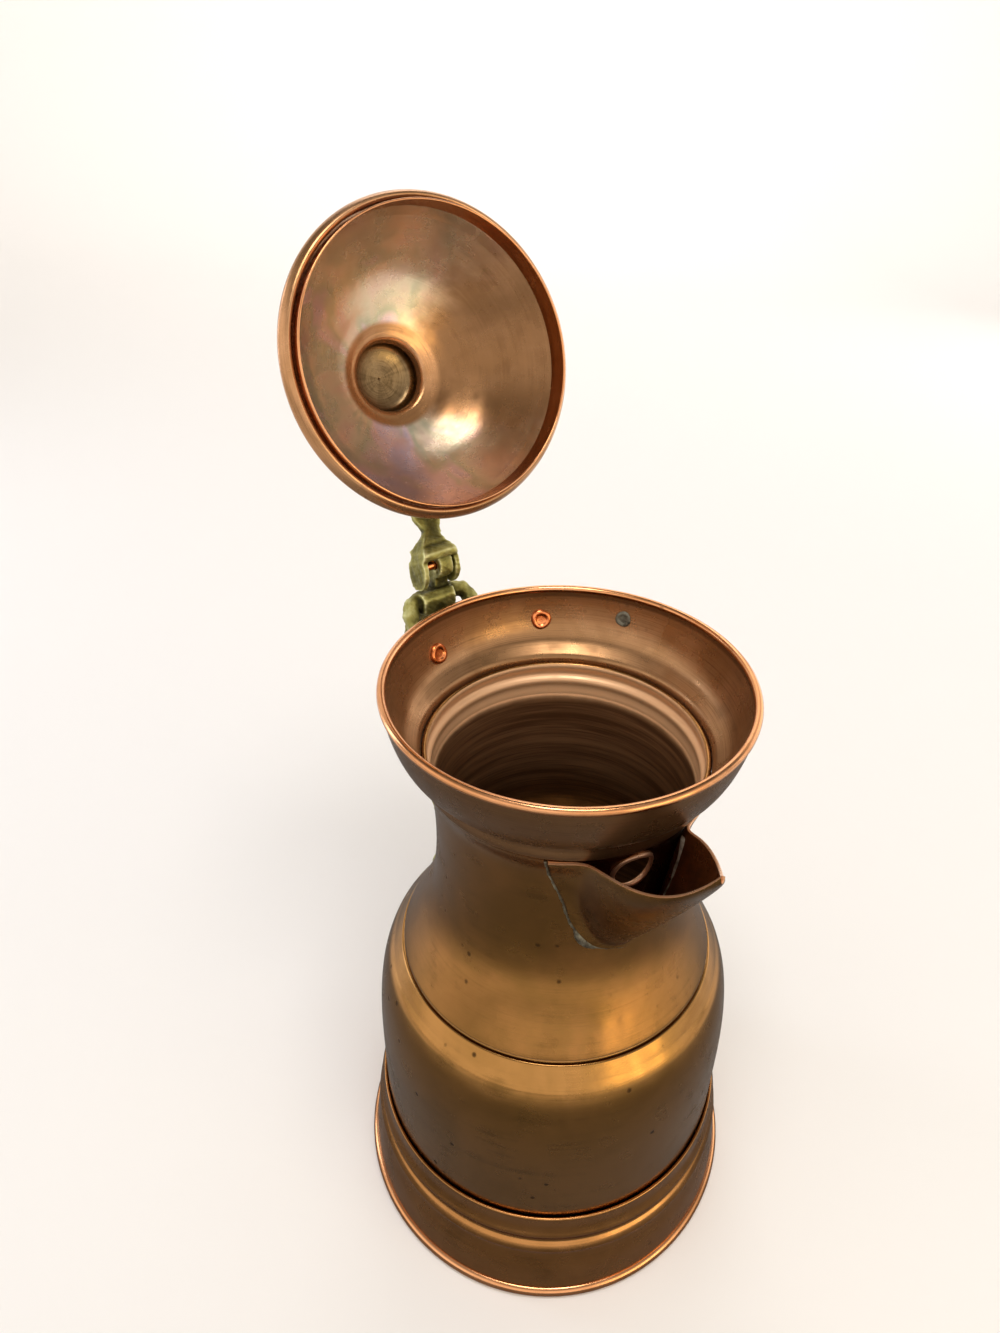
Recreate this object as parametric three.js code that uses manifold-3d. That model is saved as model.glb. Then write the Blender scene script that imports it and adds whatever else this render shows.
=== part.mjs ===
// Copper jug with a bowl-shaped collar, beak spout, brass handle and hinged lid.
// Millimetres, +Z up, origin at the centre of the base. The handle points to -X.
import * as THREE from 'three';
import { mergeVertices } from 'three/addons/utils/BufferGeometryUtils.js';
import Module from 'manifold-3d';

const wasm = await Module();
wasm.setup();

// Fits
const sheet = 1.2; // copper sheet of the jug
const lidSheet = 1.0; // thinner sheet of the lid
const gap = 0.3; // clearance between pieces that touch
const roundSegments = 36;
const rivetSegments = 12;

// Rim and collar
const rimHeight = 256; // centre of the rim wire above the floor
const rimRadius = 75;
const rimWireRadius = 1.7;
const bowlDepth = 28; // from the rim wire down to the top of the lap ring
const lapRadius = 60; // the collar's lap ring, outside the neck's upper edge
const lapHeight = 6;
const lapOverlap = 3; // how far the neck's edge goes up inside the lap ring

// Neck, shoulder and lower body
const neckWaistRadius = 52.8;
const neckWaistDrop = 70; // waist below the rim wire
const throatRadius = 56.2;
const throatDrop = 43.5; // throat below the rim wire
const seamHeight = 127;
const seamRadius = 67.2; // neck shell at the lap seam
const seamLap = 4.0;
const bodyRadius = 78.2;
const bodyWideDrop = 41; // widest place below the seam

// Foot and base
const footTopHeight = 44;
const footRadius = 84.6;
const footSpread = 8.8; // how far the foot reaches out past the body
const footWireRadius = 2.4;
const ridgeHeight = 1.3;
const baseThickness = 1.6;

// Spout
const spoutTurn = -13; // degrees from +X, seen from above
const spoutReach = 104;
const spoutRoot = 54;
const spoutHalfWidth = 21.3;
const spoutLipDrop = 37.2; // lip at the neck, below the rim
const spoutTipDrop = 5.2; // lip at the tip, below the rim
const spoutKeelDrop = 86.5; // keel at the root, below the rim
const spoutTipDepth = 3.8;
const flangeOutline = [ // half width and drop below the rim wire
  [32.4, 37], [29.6, 46], [24.6, 59], [20.6, 72], [12.4, 83.6], [0, 88.2],
];
const solderWidth = 2.2;
const solderThickness = 0.8;
const pourHoleRadius = 8.5;
const pourHoleDrop = 48; // below the rim wire

// Hinge and handle
const hingeReach = 88.7; // pin axis from the jug's axis
const hingeRise = 14.5; // pin axis above the rim wire
const openAngle = 112.2; // degrees from closed to the rest pose
const pinRadius = 2.0;
const pinClearance = 0.3;
const hingeSide = -4.5; // the fork and yoke sit this far off the middle, in Y
const knuckleRadius = 6.5;
const knuckleWidth = 7.4;
const yokeRadius = 4;
const yokeHalfWidth = 16.5;
const yokeDrop = 14.8; // crosspiece centre below the pin axis
const apronWidth = 17; // plate before the crosspiece
const webWidth = 12; // plate under the knuckle, down behind the rim
const bandThickness = 3;
const bandHeight = 13;
const bandCentreDrop = 15; // below the rim wire
const bandAngles = [142, 203]; // ends of the band round the collar, degrees
const gripHalfWidth = 7.5;
const gripHalfThickness = 4;
const gripReach = 113.5;
const leafHalfWidth = 16;
const leafThickness = 3;
const leafRise = 6; // top of the leaf above the seam
const leafDrop = 37; // its point below the seam

// Rivets
const rivetShankRadius = 2.0;
const rivetHeadRadius = 4.6;
const rivetHeadHeight = 1.3;
const leafHeadRadius = 3.5;
const rivetClearance = 0.3;
const collarRivets = { left: [194.9, 16.2], right: [150, 14.2] }; // [degrees, below the rim wire]
const oldHole = [118.8, 10.8];
const plugRadius = 2.6;
const leafRivets = { left: [-10, 21], right: [10, 21], bottom: [0, 30] }; // [side, below the seam]

// Lid, measured from its flange plane when closed
const lidDrop = 15.8; // flange plane below the rim wire
const lidRadius = 67.3;
const lipDrop = 3.6;
const skirtRadius = 62.5;
const skirtDrop = 7.5;
const skirtRise = 1.0;
const domeRise = 39.8;
const domeLean = 3.2; // the knob sits this far off centre, toward the hinge
const knobHoleRadius = 16;
const knobHeight = 11.4;
const finialHeight = 13;
const finialRadius = 4.6;
const forkGap = 13.4;
const earThickness = 2.8;
const earWidth = 14.4;
const earTop = 7.5; // ear above the pin when the lid stands open
const saddleThickness = 3.6; // fork root over the knuckle
const saddleEnds = [-66, 42]; // degrees about the pin, lid closed
const armWaist = 8.5;
const pinEmbed = 1.6; // how far the pin goes into each ear

const deg = Math.PI / 180;
const pinHeight = rimHeight + hingeRise;
const crosspieceHeight = pinHeight - yokeDrop;
const forkWidth = forkGap + 2 * earThickness;
const pinLength = forkGap + 2 * pinEmbed;
const knuckleSide = hingeSide + forkGap / 2 - gap - knuckleWidth / 2; // close to the right ear
const heelFoot = -yokeDrop + yokeRadius + gap; // foot of an ear, from the pin, lid open
const lidPlane = rimHeight - lidDrop;
const neckWaistHeight = rimHeight - neckWaistDrop;
const throatHeight = rimHeight - throatDrop;
const bodyWideHeight = seamHeight - bodyWideDrop;
const bodyFootRadius = footRadius - footSpread;
const bandCentreHeight = rimHeight - bandCentreDrop;
const leafTop = seamHeight + leafRise;
const leafBottom = seamHeight - leafDrop;
const collarTop = rimHeight - rimWireRadius - gap;
const collarTopRadius = rimRadius - rimWireRadius + sheet / 2;
const bowlFloor = rimHeight - bowlDepth;
const neckTop = bowlFloor - lapHeight + lapOverlap;

const copper = { color: '#b06a3c', roughness: 0.32, metalness: 1 };
const bright = { color: '#c98a5c', roughness: 0.28, metalness: 1 };
const brass = { color: '#7a7440', roughness: 0.62, metalness: 0.8 };
const solder = { color: '#7d7a70', roughness: 0.55, metalness: 0.7 };

// A closed profile of [radius, height] pairs, turned about the Z axis.
function turned(profile, segments = roundSegments) {
  let area = 0;
  profile.forEach(([r, z], i) => {
    const [nextR, nextZ] = profile[(i + 1) % profile.length];
    area += r * nextZ - nextR * z;
  });
  const ordered = area > 0 ? profile : [...profile].reverse();
  const points = [...ordered, ordered[0]].map(([r, z]) => new THREE.Vector2(r, z));
  return new THREE.LatheGeometry(points, segments).rotateX(Math.PI / 2);
}

// Points moved sideways by a distance, to the right of the direction of travel.
function offset(points, distance) {
  return points.map((point, i) => {
    const before = points[Math.max(i - 1, 0)];
    const after = points[Math.min(i + 1, points.length - 1)];
    const a = unit(before === point ? after : point, before === point ? point : before);
    const b = unit(after === point ? point : after, after === point ? before : point);
    const start = before === point ? b : a;
    const end = after === point ? a : b;
    const n = [start[1] + end[1], -start[0] - end[0]];
    const scale = distance / (1 + start[0] * end[0] + start[1] * end[1]);
    return [point[0] + n[0] * scale, point[1] + n[1] * scale];
  });
}

function unit(to, from) {
  const length = Math.hypot(to[0] - from[0], to[1] - from[1]);
  return [(to[0] - from[0]) / length, (to[1] - from[1]) / length];
}

// A smooth curve through a few [radius, height] points.
function curve(points, count) {
  const spline = new THREE.SplineCurve(points.map(([r, z]) => new THREE.Vector2(r, z)));
  return spline.getPoints(count).map((p) => [p.x, p.y]);
}

function toSolid(geometry) {
  const bare = geometry.clone();
  bare.deleteAttribute('normal');
  bare.deleteAttribute('uv');
  const merged = mergeVertices(bare, 1e-4);
  const index = merged.index.array;
  const triVerts = [];
  for (let i = 0; i < index.length; i += 3) {
    const [a, b, c] = [index[i], index[i + 1], index[i + 2]];
    if (a !== b && b !== c && c !== a) triVerts.push(a, b, c);
  }
  const vertProperties = new Float32Array(merged.attributes.position.array);
  const mesh = new wasm.Mesh({ numProp: 3, vertProperties, triVerts: new Uint32Array(triVerts) });
  return new wasm.Manifold(mesh);
}

function toGeometry(solid) {
  const { vertProperties, triVerts } = solid.getMesh();
  const geometry = new THREE.BufferGeometry();
  geometry.setAttribute('position', new THREE.BufferAttribute(vertProperties, 3));
  geometry.setIndex(new THREE.BufferAttribute(triVerts, 1));
  geometry.computeVertexNormals();
  return geometry;
}

// A closed skin over a row of rings that have equal numbers of points.
function skin(rings) {
  const count = rings[0].length;
  const positions = rings.flat().flatMap((p) => [p.x, p.y, p.z]);
  const index = [];
  for (let i = 0; i + 1 < rings.length; i += 1) {
    for (let j = 0; j < count; j += 1) {
      const a = i * count + j;
      const b = i * count + ((j + 1) % count);
      index.push(a, b, b + count, a, b + count, a + count);
    }
  }
  [0, rings.length - 1].forEach((end) => {
    const centre = new THREE.Vector3();
    rings[end].forEach((p) => centre.addScaledVector(p, 1 / count));
    const hub = positions.length / 3;
    positions.push(centre.x, centre.y, centre.z);
    for (let j = 0; j < count; j += 1) {
      const a = end * count + j;
      const b = end * count + ((j + 1) % count);
      if (end === 0) index.push(hub, b, a);
      else index.push(hub, a, b);
    }
  });
  const geometry = new THREE.BufferGeometry();
  geometry.setAttribute('position', new THREE.Float32BufferAttribute(positions, 3));
  geometry.setIndex(index);
  return geometry;
}

function rod(radius, length, segments = 16) {
  return new THREE.CylinderGeometry(radius, radius, length, segments);
}

// Outer lines of the jug, listed from the foot upwards
const neckEdgeRadius = lapRadius - sheet - gap;
const neckRise = neckWaistHeight - seamHeight;
const neckLine = [
  ...curve([
    [seamRadius, seamHeight],
    [neckWaistRadius + 4.6, seamHeight + 0.356 * neckRise],
    [neckWaistRadius + 0.7, seamHeight + 0.644 * neckRise],
    [neckWaistRadius, neckWaistHeight],
    [throatRadius - 1.6, throatHeight - 4.5],
    [throatRadius + 1.4, throatHeight + 5.5],
    [neckEdgeRadius, bowlFloor - lapHeight - 1],
  ], 9),
  [neckEdgeRadius, neckTop],
];
const bodyLine = curve([
  [bodyFootRadius, baseThickness + gap],
  [bodyFootRadius + 0.4, footTopHeight - 10],
  [bodyRadius - 1.0, bodyWideHeight - 30],
  [bodyRadius, bodyWideHeight],
  [bodyRadius - 1.0, seamHeight - 23],
  [bodyRadius - 3.6, seamHeight - 12],
  [seamRadius + 0.8, seamHeight - 1.2],
], 7);
const collarLine = [
  [lapRadius, bowlFloor - lapHeight],
  [lapRadius, bowlFloor - 0.6],
  ...curve([
    [lapRadius + 0.9, bowlFloor + 0.4],
    [66.4, bowlFloor + 5.2],
    [69.9, bowlFloor + 11.5],
    [72.6, bowlFloor + 20],
    [collarTopRadius, collarTop],
  ], 5),
];

// A solid of the jug's outside from the wide body to the collar, grown by a distance.
function jugEnvelope(growth) {
  const line = [...bodyLine.slice(2), ...neckLine.slice(0, -1), ...collarLine];
  const grown = offset(line, growth);
  const [first, last] = [grown[0], grown[grown.length - 1]];
  return toSolid(turned([...grown, [0, last[1]], [0, first[1]]]));
}

function shell(outerLine, thickness) {
  return turned([...outerLine, ...offset(outerLine, -thickness).reverse()]);
}

function basePlate() {
  const radius = footRadius - 2 * footWireRadius - gap;
  return turned([[0, 0], [radius, 0], [radius, baseThickness], [0, baseThickness]]);
}

function wireRing(outerRadius, wireRadius, height) {
  const ring = new THREE.TorusGeometry(outerRadius - wireRadius, wireRadius, 6, roundSegments);
  return ring.translate(0, 0, height);
}

// The foot stands on its wire and hugs the body at the top, with two hammered ridges.
function footRing() {
  const hug = (height, proud) => [
    wallAt(bodyLine, height).radius + gap + sheet + proud,
    height,
  ];
  const outerLine = [
    [footRadius - footWireRadius + sheet / 2, 2 * footWireRadius + gap],
    [footRadius - 3.0, footTopHeight - 28],
    hug(footTopHeight - 20, 2.5),
    hug(footTopHeight - 17, 2.0 + ridgeHeight),
    hug(footTopHeight - 14, 1.4),
    hug(footTopHeight - 12, 0.9),
    hug(footTopHeight - 9, 0.8 + ridgeHeight),
    hug(footTopHeight - 6, 0.5),
    hug(footTopHeight, 0.05),
  ];
  return shell(outerLine, sheet);
}

// The body's upper edge passes inside the neck shell at the lap seam.
function lowerBody() {
  const lap = offset(neckLine.slice(0, 3), -(sheet + gap));
  const [start, end] = lap;
  const share = seamLap / (end[1] - start[1]);
  const lapTop = [start[0] + (end[0] - start[0]) * share, start[1] + seamLap];
  const outerLine = [...bodyLine, [start[0] + 0.2, seamHeight - 0.9], lapTop];
  return shell(outerLine, sheet);
}

// A solid made along +X, turned to the spout's direction.
function toSpout(geometry) {
  return toSolid(geometry.rotateZ(spoutTurn * deg));
}

// A round cutter along the spout, at the pour hole's place.
function pourHole() {
  const cutter = rod(pourHoleRadius, 30, 24).rotateZ(Math.PI / 2);
  return toSpout(cutter.translate(throatRadius, 0, rimHeight - pourHoleDrop));
}

function neckShell() {
  return toGeometry(toSolid(shell(neckLine, sheet)).subtract(pourHole()));
}

// Lap ring and bowl in one sheet, with holes for the rivets and the old plug.
function collar() {
  let solid = toSolid(shell(collarLine, sheet));
  Object.values(collarRivets).forEach((place) => {
    solid = solid.subtract(toSolid(collarSeat(rivetHole(rivetShankRadius), place)));
  });
  return toGeometry(solid.subtract(toSolid(collarSeat(rivetHole(plugRadius), oldHole))));
}

// Radius of an outer line at a height, and how far the wall leans outwards there.
function wallAt(line, height) {
  const i = line.findIndex(([, z]) => z > height);
  const [r0, z0] = line[i - 1];
  const [r1, z1] = line[i];
  const slope = (r1 - r0) / (z1 - z0);
  return { radius: r0 + slope * (height - z0), lean: Math.atan(slope) };
}

function wallRadius(height) {
  return wallAt(collarLine, height).radius;
}

// Turns a shape made along +Y square to a wall, with its middle at the wall's outer face.
function seat(geometry, wall, height, angle) {
  geometry.rotateZ(-Math.PI / 2).rotateY(wall.lean);
  return geometry.translate(wall.radius, 0, height).rotateZ(angle);
}

function collarSeat(geometry, [angle, drop]) {
  const height = rimHeight - drop;
  return seat(geometry, wallAt(collarLine, height), height, angle * deg);
}

function leafSeat(geometry, [side, drop]) {
  const height = seamHeight - drop;
  const wall = wallAt(bodyLine, height);
  return seat(geometry, wall, height, Math.PI + Math.asin(-side / wall.radius));
}

function rivetHole(radius) {
  return rod(radius + rivetClearance, 16);
}

// A rivet along +Y: a flat round head inside and a low hammered end outside. Its head is
// cut to lie along the wall, and the shank passes through.
function rivet(place, seatOn, wallLine, outside, shankRadius, headRadius, headHeight) {
  const innerFace = -sheet - gap;
  const head = turned([
    [0, innerFace - headHeight],
    [headRadius * 0.85, innerFace - headHeight],
    [headRadius, innerFace - headHeight * 0.5],
    [headRadius, innerFace + 1],
    [0, innerFace + 1],
  ], rivetSegments).rotateX(-Math.PI / 2);
  const shank = turned([
    [0, innerFace - headHeight * 0.8],
    [shankRadius, innerFace - headHeight * 0.8],
    [shankRadius, outside],
    [shankRadius * 1.7, outside],
    [shankRadius, outside + headHeight * 0.8],
    [0, outside + headHeight],
  ], rivetSegments).rotateX(-Math.PI / 2);
  const wall = toSolid(shell(offset(wallLine, gap), sheet + 2 * gap));
  const seated = toSolid(seatOn(head, place)).subtract(wall);
  return toGeometry(seated.add(toSolid(seatOn(shank, place))));
}

function collarRivet(place) {
  const outside = gap + bandThickness + gap;
  return rivet(place, collarSeat, collarLine, outside, rivetShankRadius, rivetHeadRadius, rivetHeadHeight);
}

function leafRivet(place) {
  const outside = gap + leafThickness + gap;
  return rivet(place, leafSeat, bodyLine, outside, rivetShankRadius, leafHeadRadius, rivetHeadHeight);
}

function holePlug() {
  return rivet(oldHole, collarSeat, collarLine, gap, plugRadius, plugRadius + 1, 0.5);
}

// Spout shape against t, from 0 at the neck to 1 at the tip, in millimetres
const lipHeight = (t) => rimHeight - spoutLipDrop + 10 * (1 - (1 - t) ** 3)
  + (spoutLipDrop - spoutTipDrop - 10) * t ** 5;
const keelHeight = (t) => rimHeight - spoutKeelDrop
  + (spoutKeelDrop - spoutTipDrop - spoutTipDepth) * t - 10 * t * (1 - t);
const lipHalfWidth = (t) => spoutHalfWidth * (1 - t ** 2.5);

// A U-shaped section of the spout at t, thinner by the inset and open above by the lift.
function spoutSection(t, inset, lift) {
  const shape = Math.max(t, 0);
  const half = Math.max(lipHalfWidth(shape) - inset, 0.4);
  const lip = lipHeight(shape);
  const keel = Math.min(keelHeight(shape) + 1.9 * inset, lip - 0.6);
  const reach = spoutRoot + (spoutReach - spoutRoot) * t;
  const ring = [];
  for (let i = 0; i <= 12; i += 1) {
    const angle = (i / 12 - 0.5) * Math.PI;
    const z = lip - (lip - keel) * Math.cos(angle);
    ring.push(new THREE.Vector3(reach, half * Math.sin(angle), i % 12 ? z : lip + lift));
  }
  return ring;
}

function spoutLoft(stops, inset, lift) {
  return toSpout(skin(stops.map((t) => spoutSection(t, inset, lift))));
}

// A prism along the spout with the flange's outline, widened by a margin.
function flangePrism(margin) {
  const half = curve(flangeOutline.map(([y, drop]) => [y, rimHeight - drop]), 8);
  const wide = offset([...half, ...half.slice(0, -1).reverse().map(([y, z]) => [-y, z])], -margin);
  const prism = new THREE.ExtrudeGeometry(polygon(wide), { depth: 40, bevelEnabled: false });
  prism.rotateX(Math.PI / 2).rotateZ(Math.PI / 2);
  return toSpout(prism.translate(spoutRoot - 16, 0, 0));
}

function spout() {
  const outer = spoutLoft([-0.2, 0, 0.12, 0.25, 0.38, 0.5, 0.6, 0.7, 0.8, 0.88, 0.95, 1], 0, 0);
  const inner = spoutLoft([-0.3, 0, 0.12, 0.25, 0.38, 0.5, 0.6, 0.7, 0.8, 0.88, 0.95], sheet, 5);
  const flange = jugEnvelope(gap + sheet).intersect(flangePrism(0));
  return toGeometry(outer.add(flange).subtract(inner).subtract(jugEnvelope(gap)));
}

function spoutSolder() {
  const strip = jugEnvelope(gap + solderThickness).intersect(flangePrism(gap + solderWidth));
  const inside = flangePrism(gap);
  return toGeometry(strip.subtract(inside).subtract(jugEnvelope(gap)));
}

// A band round the collar between two angles, with the same lean as the wall.
function bracketBand() {
  const wedge = new THREE.Shape();
  wedge.moveTo(0, 0);
  const steps = 6;
  for (let i = 0; i <= steps; i += 1) {
    const angle = (bandAngles[0] + ((bandAngles[1] - bandAngles[0]) * i) / steps) * deg;
    wedge.lineTo(rimRadius * 1.4 * Math.cos(angle), rimRadius * 1.4 * Math.sin(angle));
  }
  const sector = new THREE.ExtrudeGeometry(wedge, { depth: bandHeight, bevelEnabled: false });
  sector.translate(0, 0, bandCentreHeight - bandHeight / 2);
  return jugEnvelope(gap + bandThickness).intersect(toSolid(sector));
}

// An extrusion across the hinge, centred on the jug's middle plane, from an XZ outline.
function acrossHinge(outline, width, y = 0) {
  const plate = new THREE.ExtrudeGeometry(outline, { depth: width, bevelEnabled: false });
  plate.rotateX(Math.PI / 2);
  return plate.translate(0, y + width / 2, 0);
}

function disc(radius, x, z, count = 20) {
  const outline = new THREE.Shape();
  for (let i = 0; i < count; i += 1) {
    const angle = (i / count) * 2 * Math.PI;
    const [px, pz] = [x + radius * Math.cos(angle), z + radius * Math.sin(angle)];
    if (i) outline.lineTo(px, pz);
    else outline.moveTo(px, pz);
  }
  return outline;
}

function polygon(points) {
  return new THREE.Shape(points.map(([x, z]) => new THREE.Vector2(x, z)));
}

function hingeBore() {
  const bore = rod(pinRadius + pinClearance, pinLength + 2 * gap);
  return toSolid(bore.translate(-hingeReach, hingeSide, pinHeight));
}

// The crosspiece and its two legs, one round bar bent over the rim.
function yokeBar() {
  const top = crosspieceHeight;
  const foot = bandCentreHeight + 1;
  const half = [
    [wallRadius(foot) + 2.2, yokeHalfWidth - 9.5, foot],
    [hingeReach - 7.5, yokeHalfWidth - 1, top - 8],
    [hingeReach - 2.5, yokeHalfWidth - 2, top - 1.5],
    [hingeReach - 0.5, yokeHalfWidth / 2, top],
  ];
  const points = [
    ...half.map(([x, y, z]) => new THREE.Vector3(-x, hingeSide + y, z)),
    ...half.map(([x, y, z]) => new THREE.Vector3(-x, hingeSide - y, z)).reverse(),
  ];
  const extrudePath = new THREE.CatmullRomCurve3(points);
  const section = disc(yokeRadius, 0, 0, 10);
  return new THREE.ExtrudeGeometry(section, { steps: 16, extrudePath, bevelEnabled: false });
}

// The grip: one flat oval bar from the crosspiece, out and down to the leaf.
function grip() {
  const top = crosspieceHeight;
  const end = leafTop - 19;
  const drop = top - end;
  const points = [
    [hingeReach - 1, top - 1],
    [hingeReach + 10, top - 8],
    [gripReach - 5, top - 0.16 * drop],
    [gripReach, top - 0.335 * drop],
    [gripReach - 1.5, top - 0.503 * drop],
    [gripReach - 9, top - 0.67 * drop],
    [gripReach - 20, top - 0.796 * drop],
    [bodyRadius - 4, end],
  ];
  const extrudePath = new THREE.CatmullRomCurve3(points.map(([x, z]) => new THREE.Vector3(-x, 0, z)));
  const section = new THREE.Shape();
  section.absellipse(0, 0, gripHalfWidth, gripHalfThickness, 0, 2 * Math.PI, false, 0);
  const settings = { steps: 18, curveSegments: 5, extrudePath, bevelEnabled: false };
  return new THREE.ExtrudeGeometry(section, settings);
}

// A leaf outline in YZ, cut through the thickness that lies on the shoulder.
function leaf() {
  const middle = (leafTop + leafBottom) / 2 + 4;
  const outline = new THREE.Shape();
  outline.moveTo(0, leafBottom);
  outline.quadraticCurveTo(leafHalfWidth * 1.05, leafBottom + 7, leafHalfWidth, middle);
  outline.quadraticCurveTo(leafHalfWidth * 0.9, leafTop - 3, 0, leafTop);
  outline.quadraticCurveTo(-leafHalfWidth * 0.9, leafTop - 3, -leafHalfWidth, middle);
  outline.quadraticCurveTo(-leafHalfWidth * 1.05, leafBottom + 7, 0, leafBottom);
  const prism = new THREE.ExtrudeGeometry(outline, { depth: 50, curveSegments: 4, bevelEnabled: false });
  prism.rotateX(Math.PI / 2).rotateZ(Math.PI / 2);
  const solid = toSolid(prism.translate(-bodyRadius - 25, 0, 0));
  return solid.intersect(jugEnvelope(gap + leafThickness));
}

// An apron under the crosspiece and a plate down to the band, flush with the knuckle's right.
function web() {
  const top = crosspieceHeight;
  const apron = [[-4, 1], [1.9, 4], [5, 4.9], [8, 2.4], [8.6, -4.5], [4, -6], [0, -4]];
  const plate = [[-2, 0], [6, 0], [9.2, -6], [14, -10.7], [11, -16.7], [2, -8]];
  const right = knuckleSide + knuckleWidth / 2;
  const solids = [[apron, apronWidth], [plate, webWidth]].map(([outline, width]) => {
    const shape = polygon(outline.map(([x, z]) => [x - hingeReach, top + z]));
    return toSolid(acrossHinge(shape, width, right - width / 2));
  });
  return solids[0].add(solids[1]);
}

// Hinge knuckle, crosspiece, band, grip and leaf, cast in one.
function handle() {
  const lug = polygon([
    [-hingeReach - knuckleRadius + 0.5, pinHeight],
    [-hingeReach - 5.5, crosspieceHeight],
    [-hingeReach + 1.9, crosspieceHeight],
    [-hingeReach + 1.9, pinHeight],
  ]);
  const round = disc(knuckleRadius, -hingeReach, pinHeight);
  let solid = toSolid(acrossHinge(round, knuckleWidth, knuckleSide));
  solid = solid.add(toSolid(acrossHinge(lug, knuckleWidth, knuckleSide))).add(web());
  solid = solid.add(toSolid(yokeBar())).add(bracketBand()).add(toSolid(grip())).add(leaf());
  solid = solid.subtract(jugEnvelope(gap)).subtract(hingeBore());
  Object.values(collarRivets).forEach((place) => {
    solid = solid.subtract(toSolid(collarSeat(rivetHole(rivetShankRadius), place)));
  });
  Object.values(leafRivets).forEach((place) => {
    solid = solid.subtract(toSolid(leafSeat(rivetHole(rivetShankRadius), place)));
  });
  return toGeometry(solid);
}

function drilledBody() {
  let solid = toSolid(lowerBody());
  Object.values(leafRivets).forEach((place) => {
    solid = solid.subtract(toSolid(leafSeat(rivetHole(rivetShankRadius), place)));
  });
  return toGeometry(solid);
}

// The dome's outer line, from the turned-down lip to the knob's hole, above the flange plane.
const domeLine = [
  [lidRadius - 0.7, -lipDrop],
  [lidRadius, -lipDrop + 2],
  [lidRadius - 0.7, 0.6],
  [lidRadius - 2.5, 1.6],
  [skirtRadius + 0.7, 2.2],
  ...curve([
    [skirtRadius - 1.9, 7],
    [52, domeRise - 22.3],
    [42, domeRise - 12.8],
    [30, domeRise - 5.3],
    [20, domeRise - 1.2],
    [knobHoleRadius, domeRise],
  ], 5),
];

function raised(line, height) {
  return line.map(([r, z]) => [r, z + height]);
}

// The dome is out of true: its rings drift toward the hinge with height.
function lean(geometry) {
  const drift = domeLean / domeRise;
  const shear = new THREE.Matrix4().makeShear(0, 0, 0, 0, -drift, 0);
  return geometry.applyMatrix4(shear).translate(drift * lidPlane, 0, 0);
}

function lidDome() {
  return lean(shell(raised(domeLine, lidPlane), lidSheet));
}

function lidSkirt() {
  return turned([
    [skirtRadius - lidSheet, lidPlane - skirtDrop],
    [skirtRadius, lidPlane - skirtDrop],
    [skirtRadius, lidPlane + skirtRise],
    [skirtRadius - lidSheet, lidPlane + skirtRise],
  ]);
}

// A hollow cup on the dome's hole: foot, narrow waist and rounded top.
function lidKnob() {
  const foot = lidPlane + domeRise + gap;
  const outerLine = [
    [knobHoleRadius + 3, foot],
    [knobHoleRadius + 2.4, foot + lidSheet],
    [knobHoleRadius - 0.6, foot + 2],
    [knobHoleRadius - 1.8, foot + 4],
    [knobHoleRadius - 1, foot + 6.4],
    [knobHoleRadius - 4, foot + 9.2],
    [5, foot + knobHeight - 0.2],
    [0, foot + knobHeight],
  ];
  const innerLine = [
    [0, foot + knobHeight - 1.3],
    [knobHoleRadius - 5, foot + 7.9],
    [knobHoleRadius - 2.4, foot + 6.0],
    [knobHoleRadius - 3.1, foot + 4],
    [knobHoleRadius - 1.2, foot + 0.9],
    [knobHoleRadius - 0.6, foot],
  ];
  return turned([...outerLine, ...innerLine], 24).translate(-domeLean, 0, 0);
}

function lidFinial() {
  const foot = lidPlane + domeRise + gap + knobHeight + gap;
  const ball = foot + finialHeight - finialRadius;
  const ballLine = [-50, -15, 20, 55].map((angle) => [
    finialRadius * Math.cos(angle * deg),
    ball + finialRadius * Math.sin(angle * deg),
  ]);
  return turned([
    [0, foot],
    [finialRadius, foot],
    [finialRadius - 0.6, foot + 1.6],
    [finialRadius / 2, foot + 2.8],
    ...ballLine,
    [0, foot + finialHeight],
  ], 16).translate(-domeLean, 0, 0);
}

// Tongue, waist and fork root: rings of [way from the pin, height, width, thickness, side].
function armBar() {
  const stations = [
    [57.7, lidPlane + 31.8, 9, 5, 0],
    [50.7, lidPlane + 30.6, 17, 6, 0],
    [41.7, lidPlane + 33, 18, 6, 0],
    [31.7, lidPlane + 36, 17, 5.5, 0],
    [20.7, pinHeight + 5.0, 15, 5, 0],
    [15.2, pinHeight + 3.2, armWaist, 5.5, -0.8],
    [12.8, pinHeight + 2.2, armWaist + 2.5, 6.5, -2.2],
    [11, pinHeight + 1.5, forkWidth - 5.5, 8, 0.85 * hingeSide],
    [9.2, pinHeight + 0.8, forkWidth - 0.8, 10, hingeSide],
    [6, pinHeight, forkWidth - 0.4, 10, hingeSide],
  ];
  const rings = stations.map(([way, z, width, thickness, middle], i) => {
    const x = way - hingeReach;
    const before = stations[Math.max(i - 1, 0)];
    const after = stations[Math.min(i + 1, stations.length - 1)];
    const along = unit([after[0], after[1]], [before[0], before[1]]);
    const [up, side] = [thickness / 2, width / 2];
    const corners = [
      [-side, up * 0.6], [-side * 0.7, up], [side * 0.7, up], [side, up * 0.6],
      [side, -up * 0.6], [side * 0.7, -up], [-side * 0.7, -up], [-side, -up * 0.6],
    ];
    return corners.map(([y, n]) => (
      new THREE.Vector3(x + n * along[1], middle + y, z - n * along[0])
    ));
  });
  return toSolid(skin(rings));
}

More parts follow.
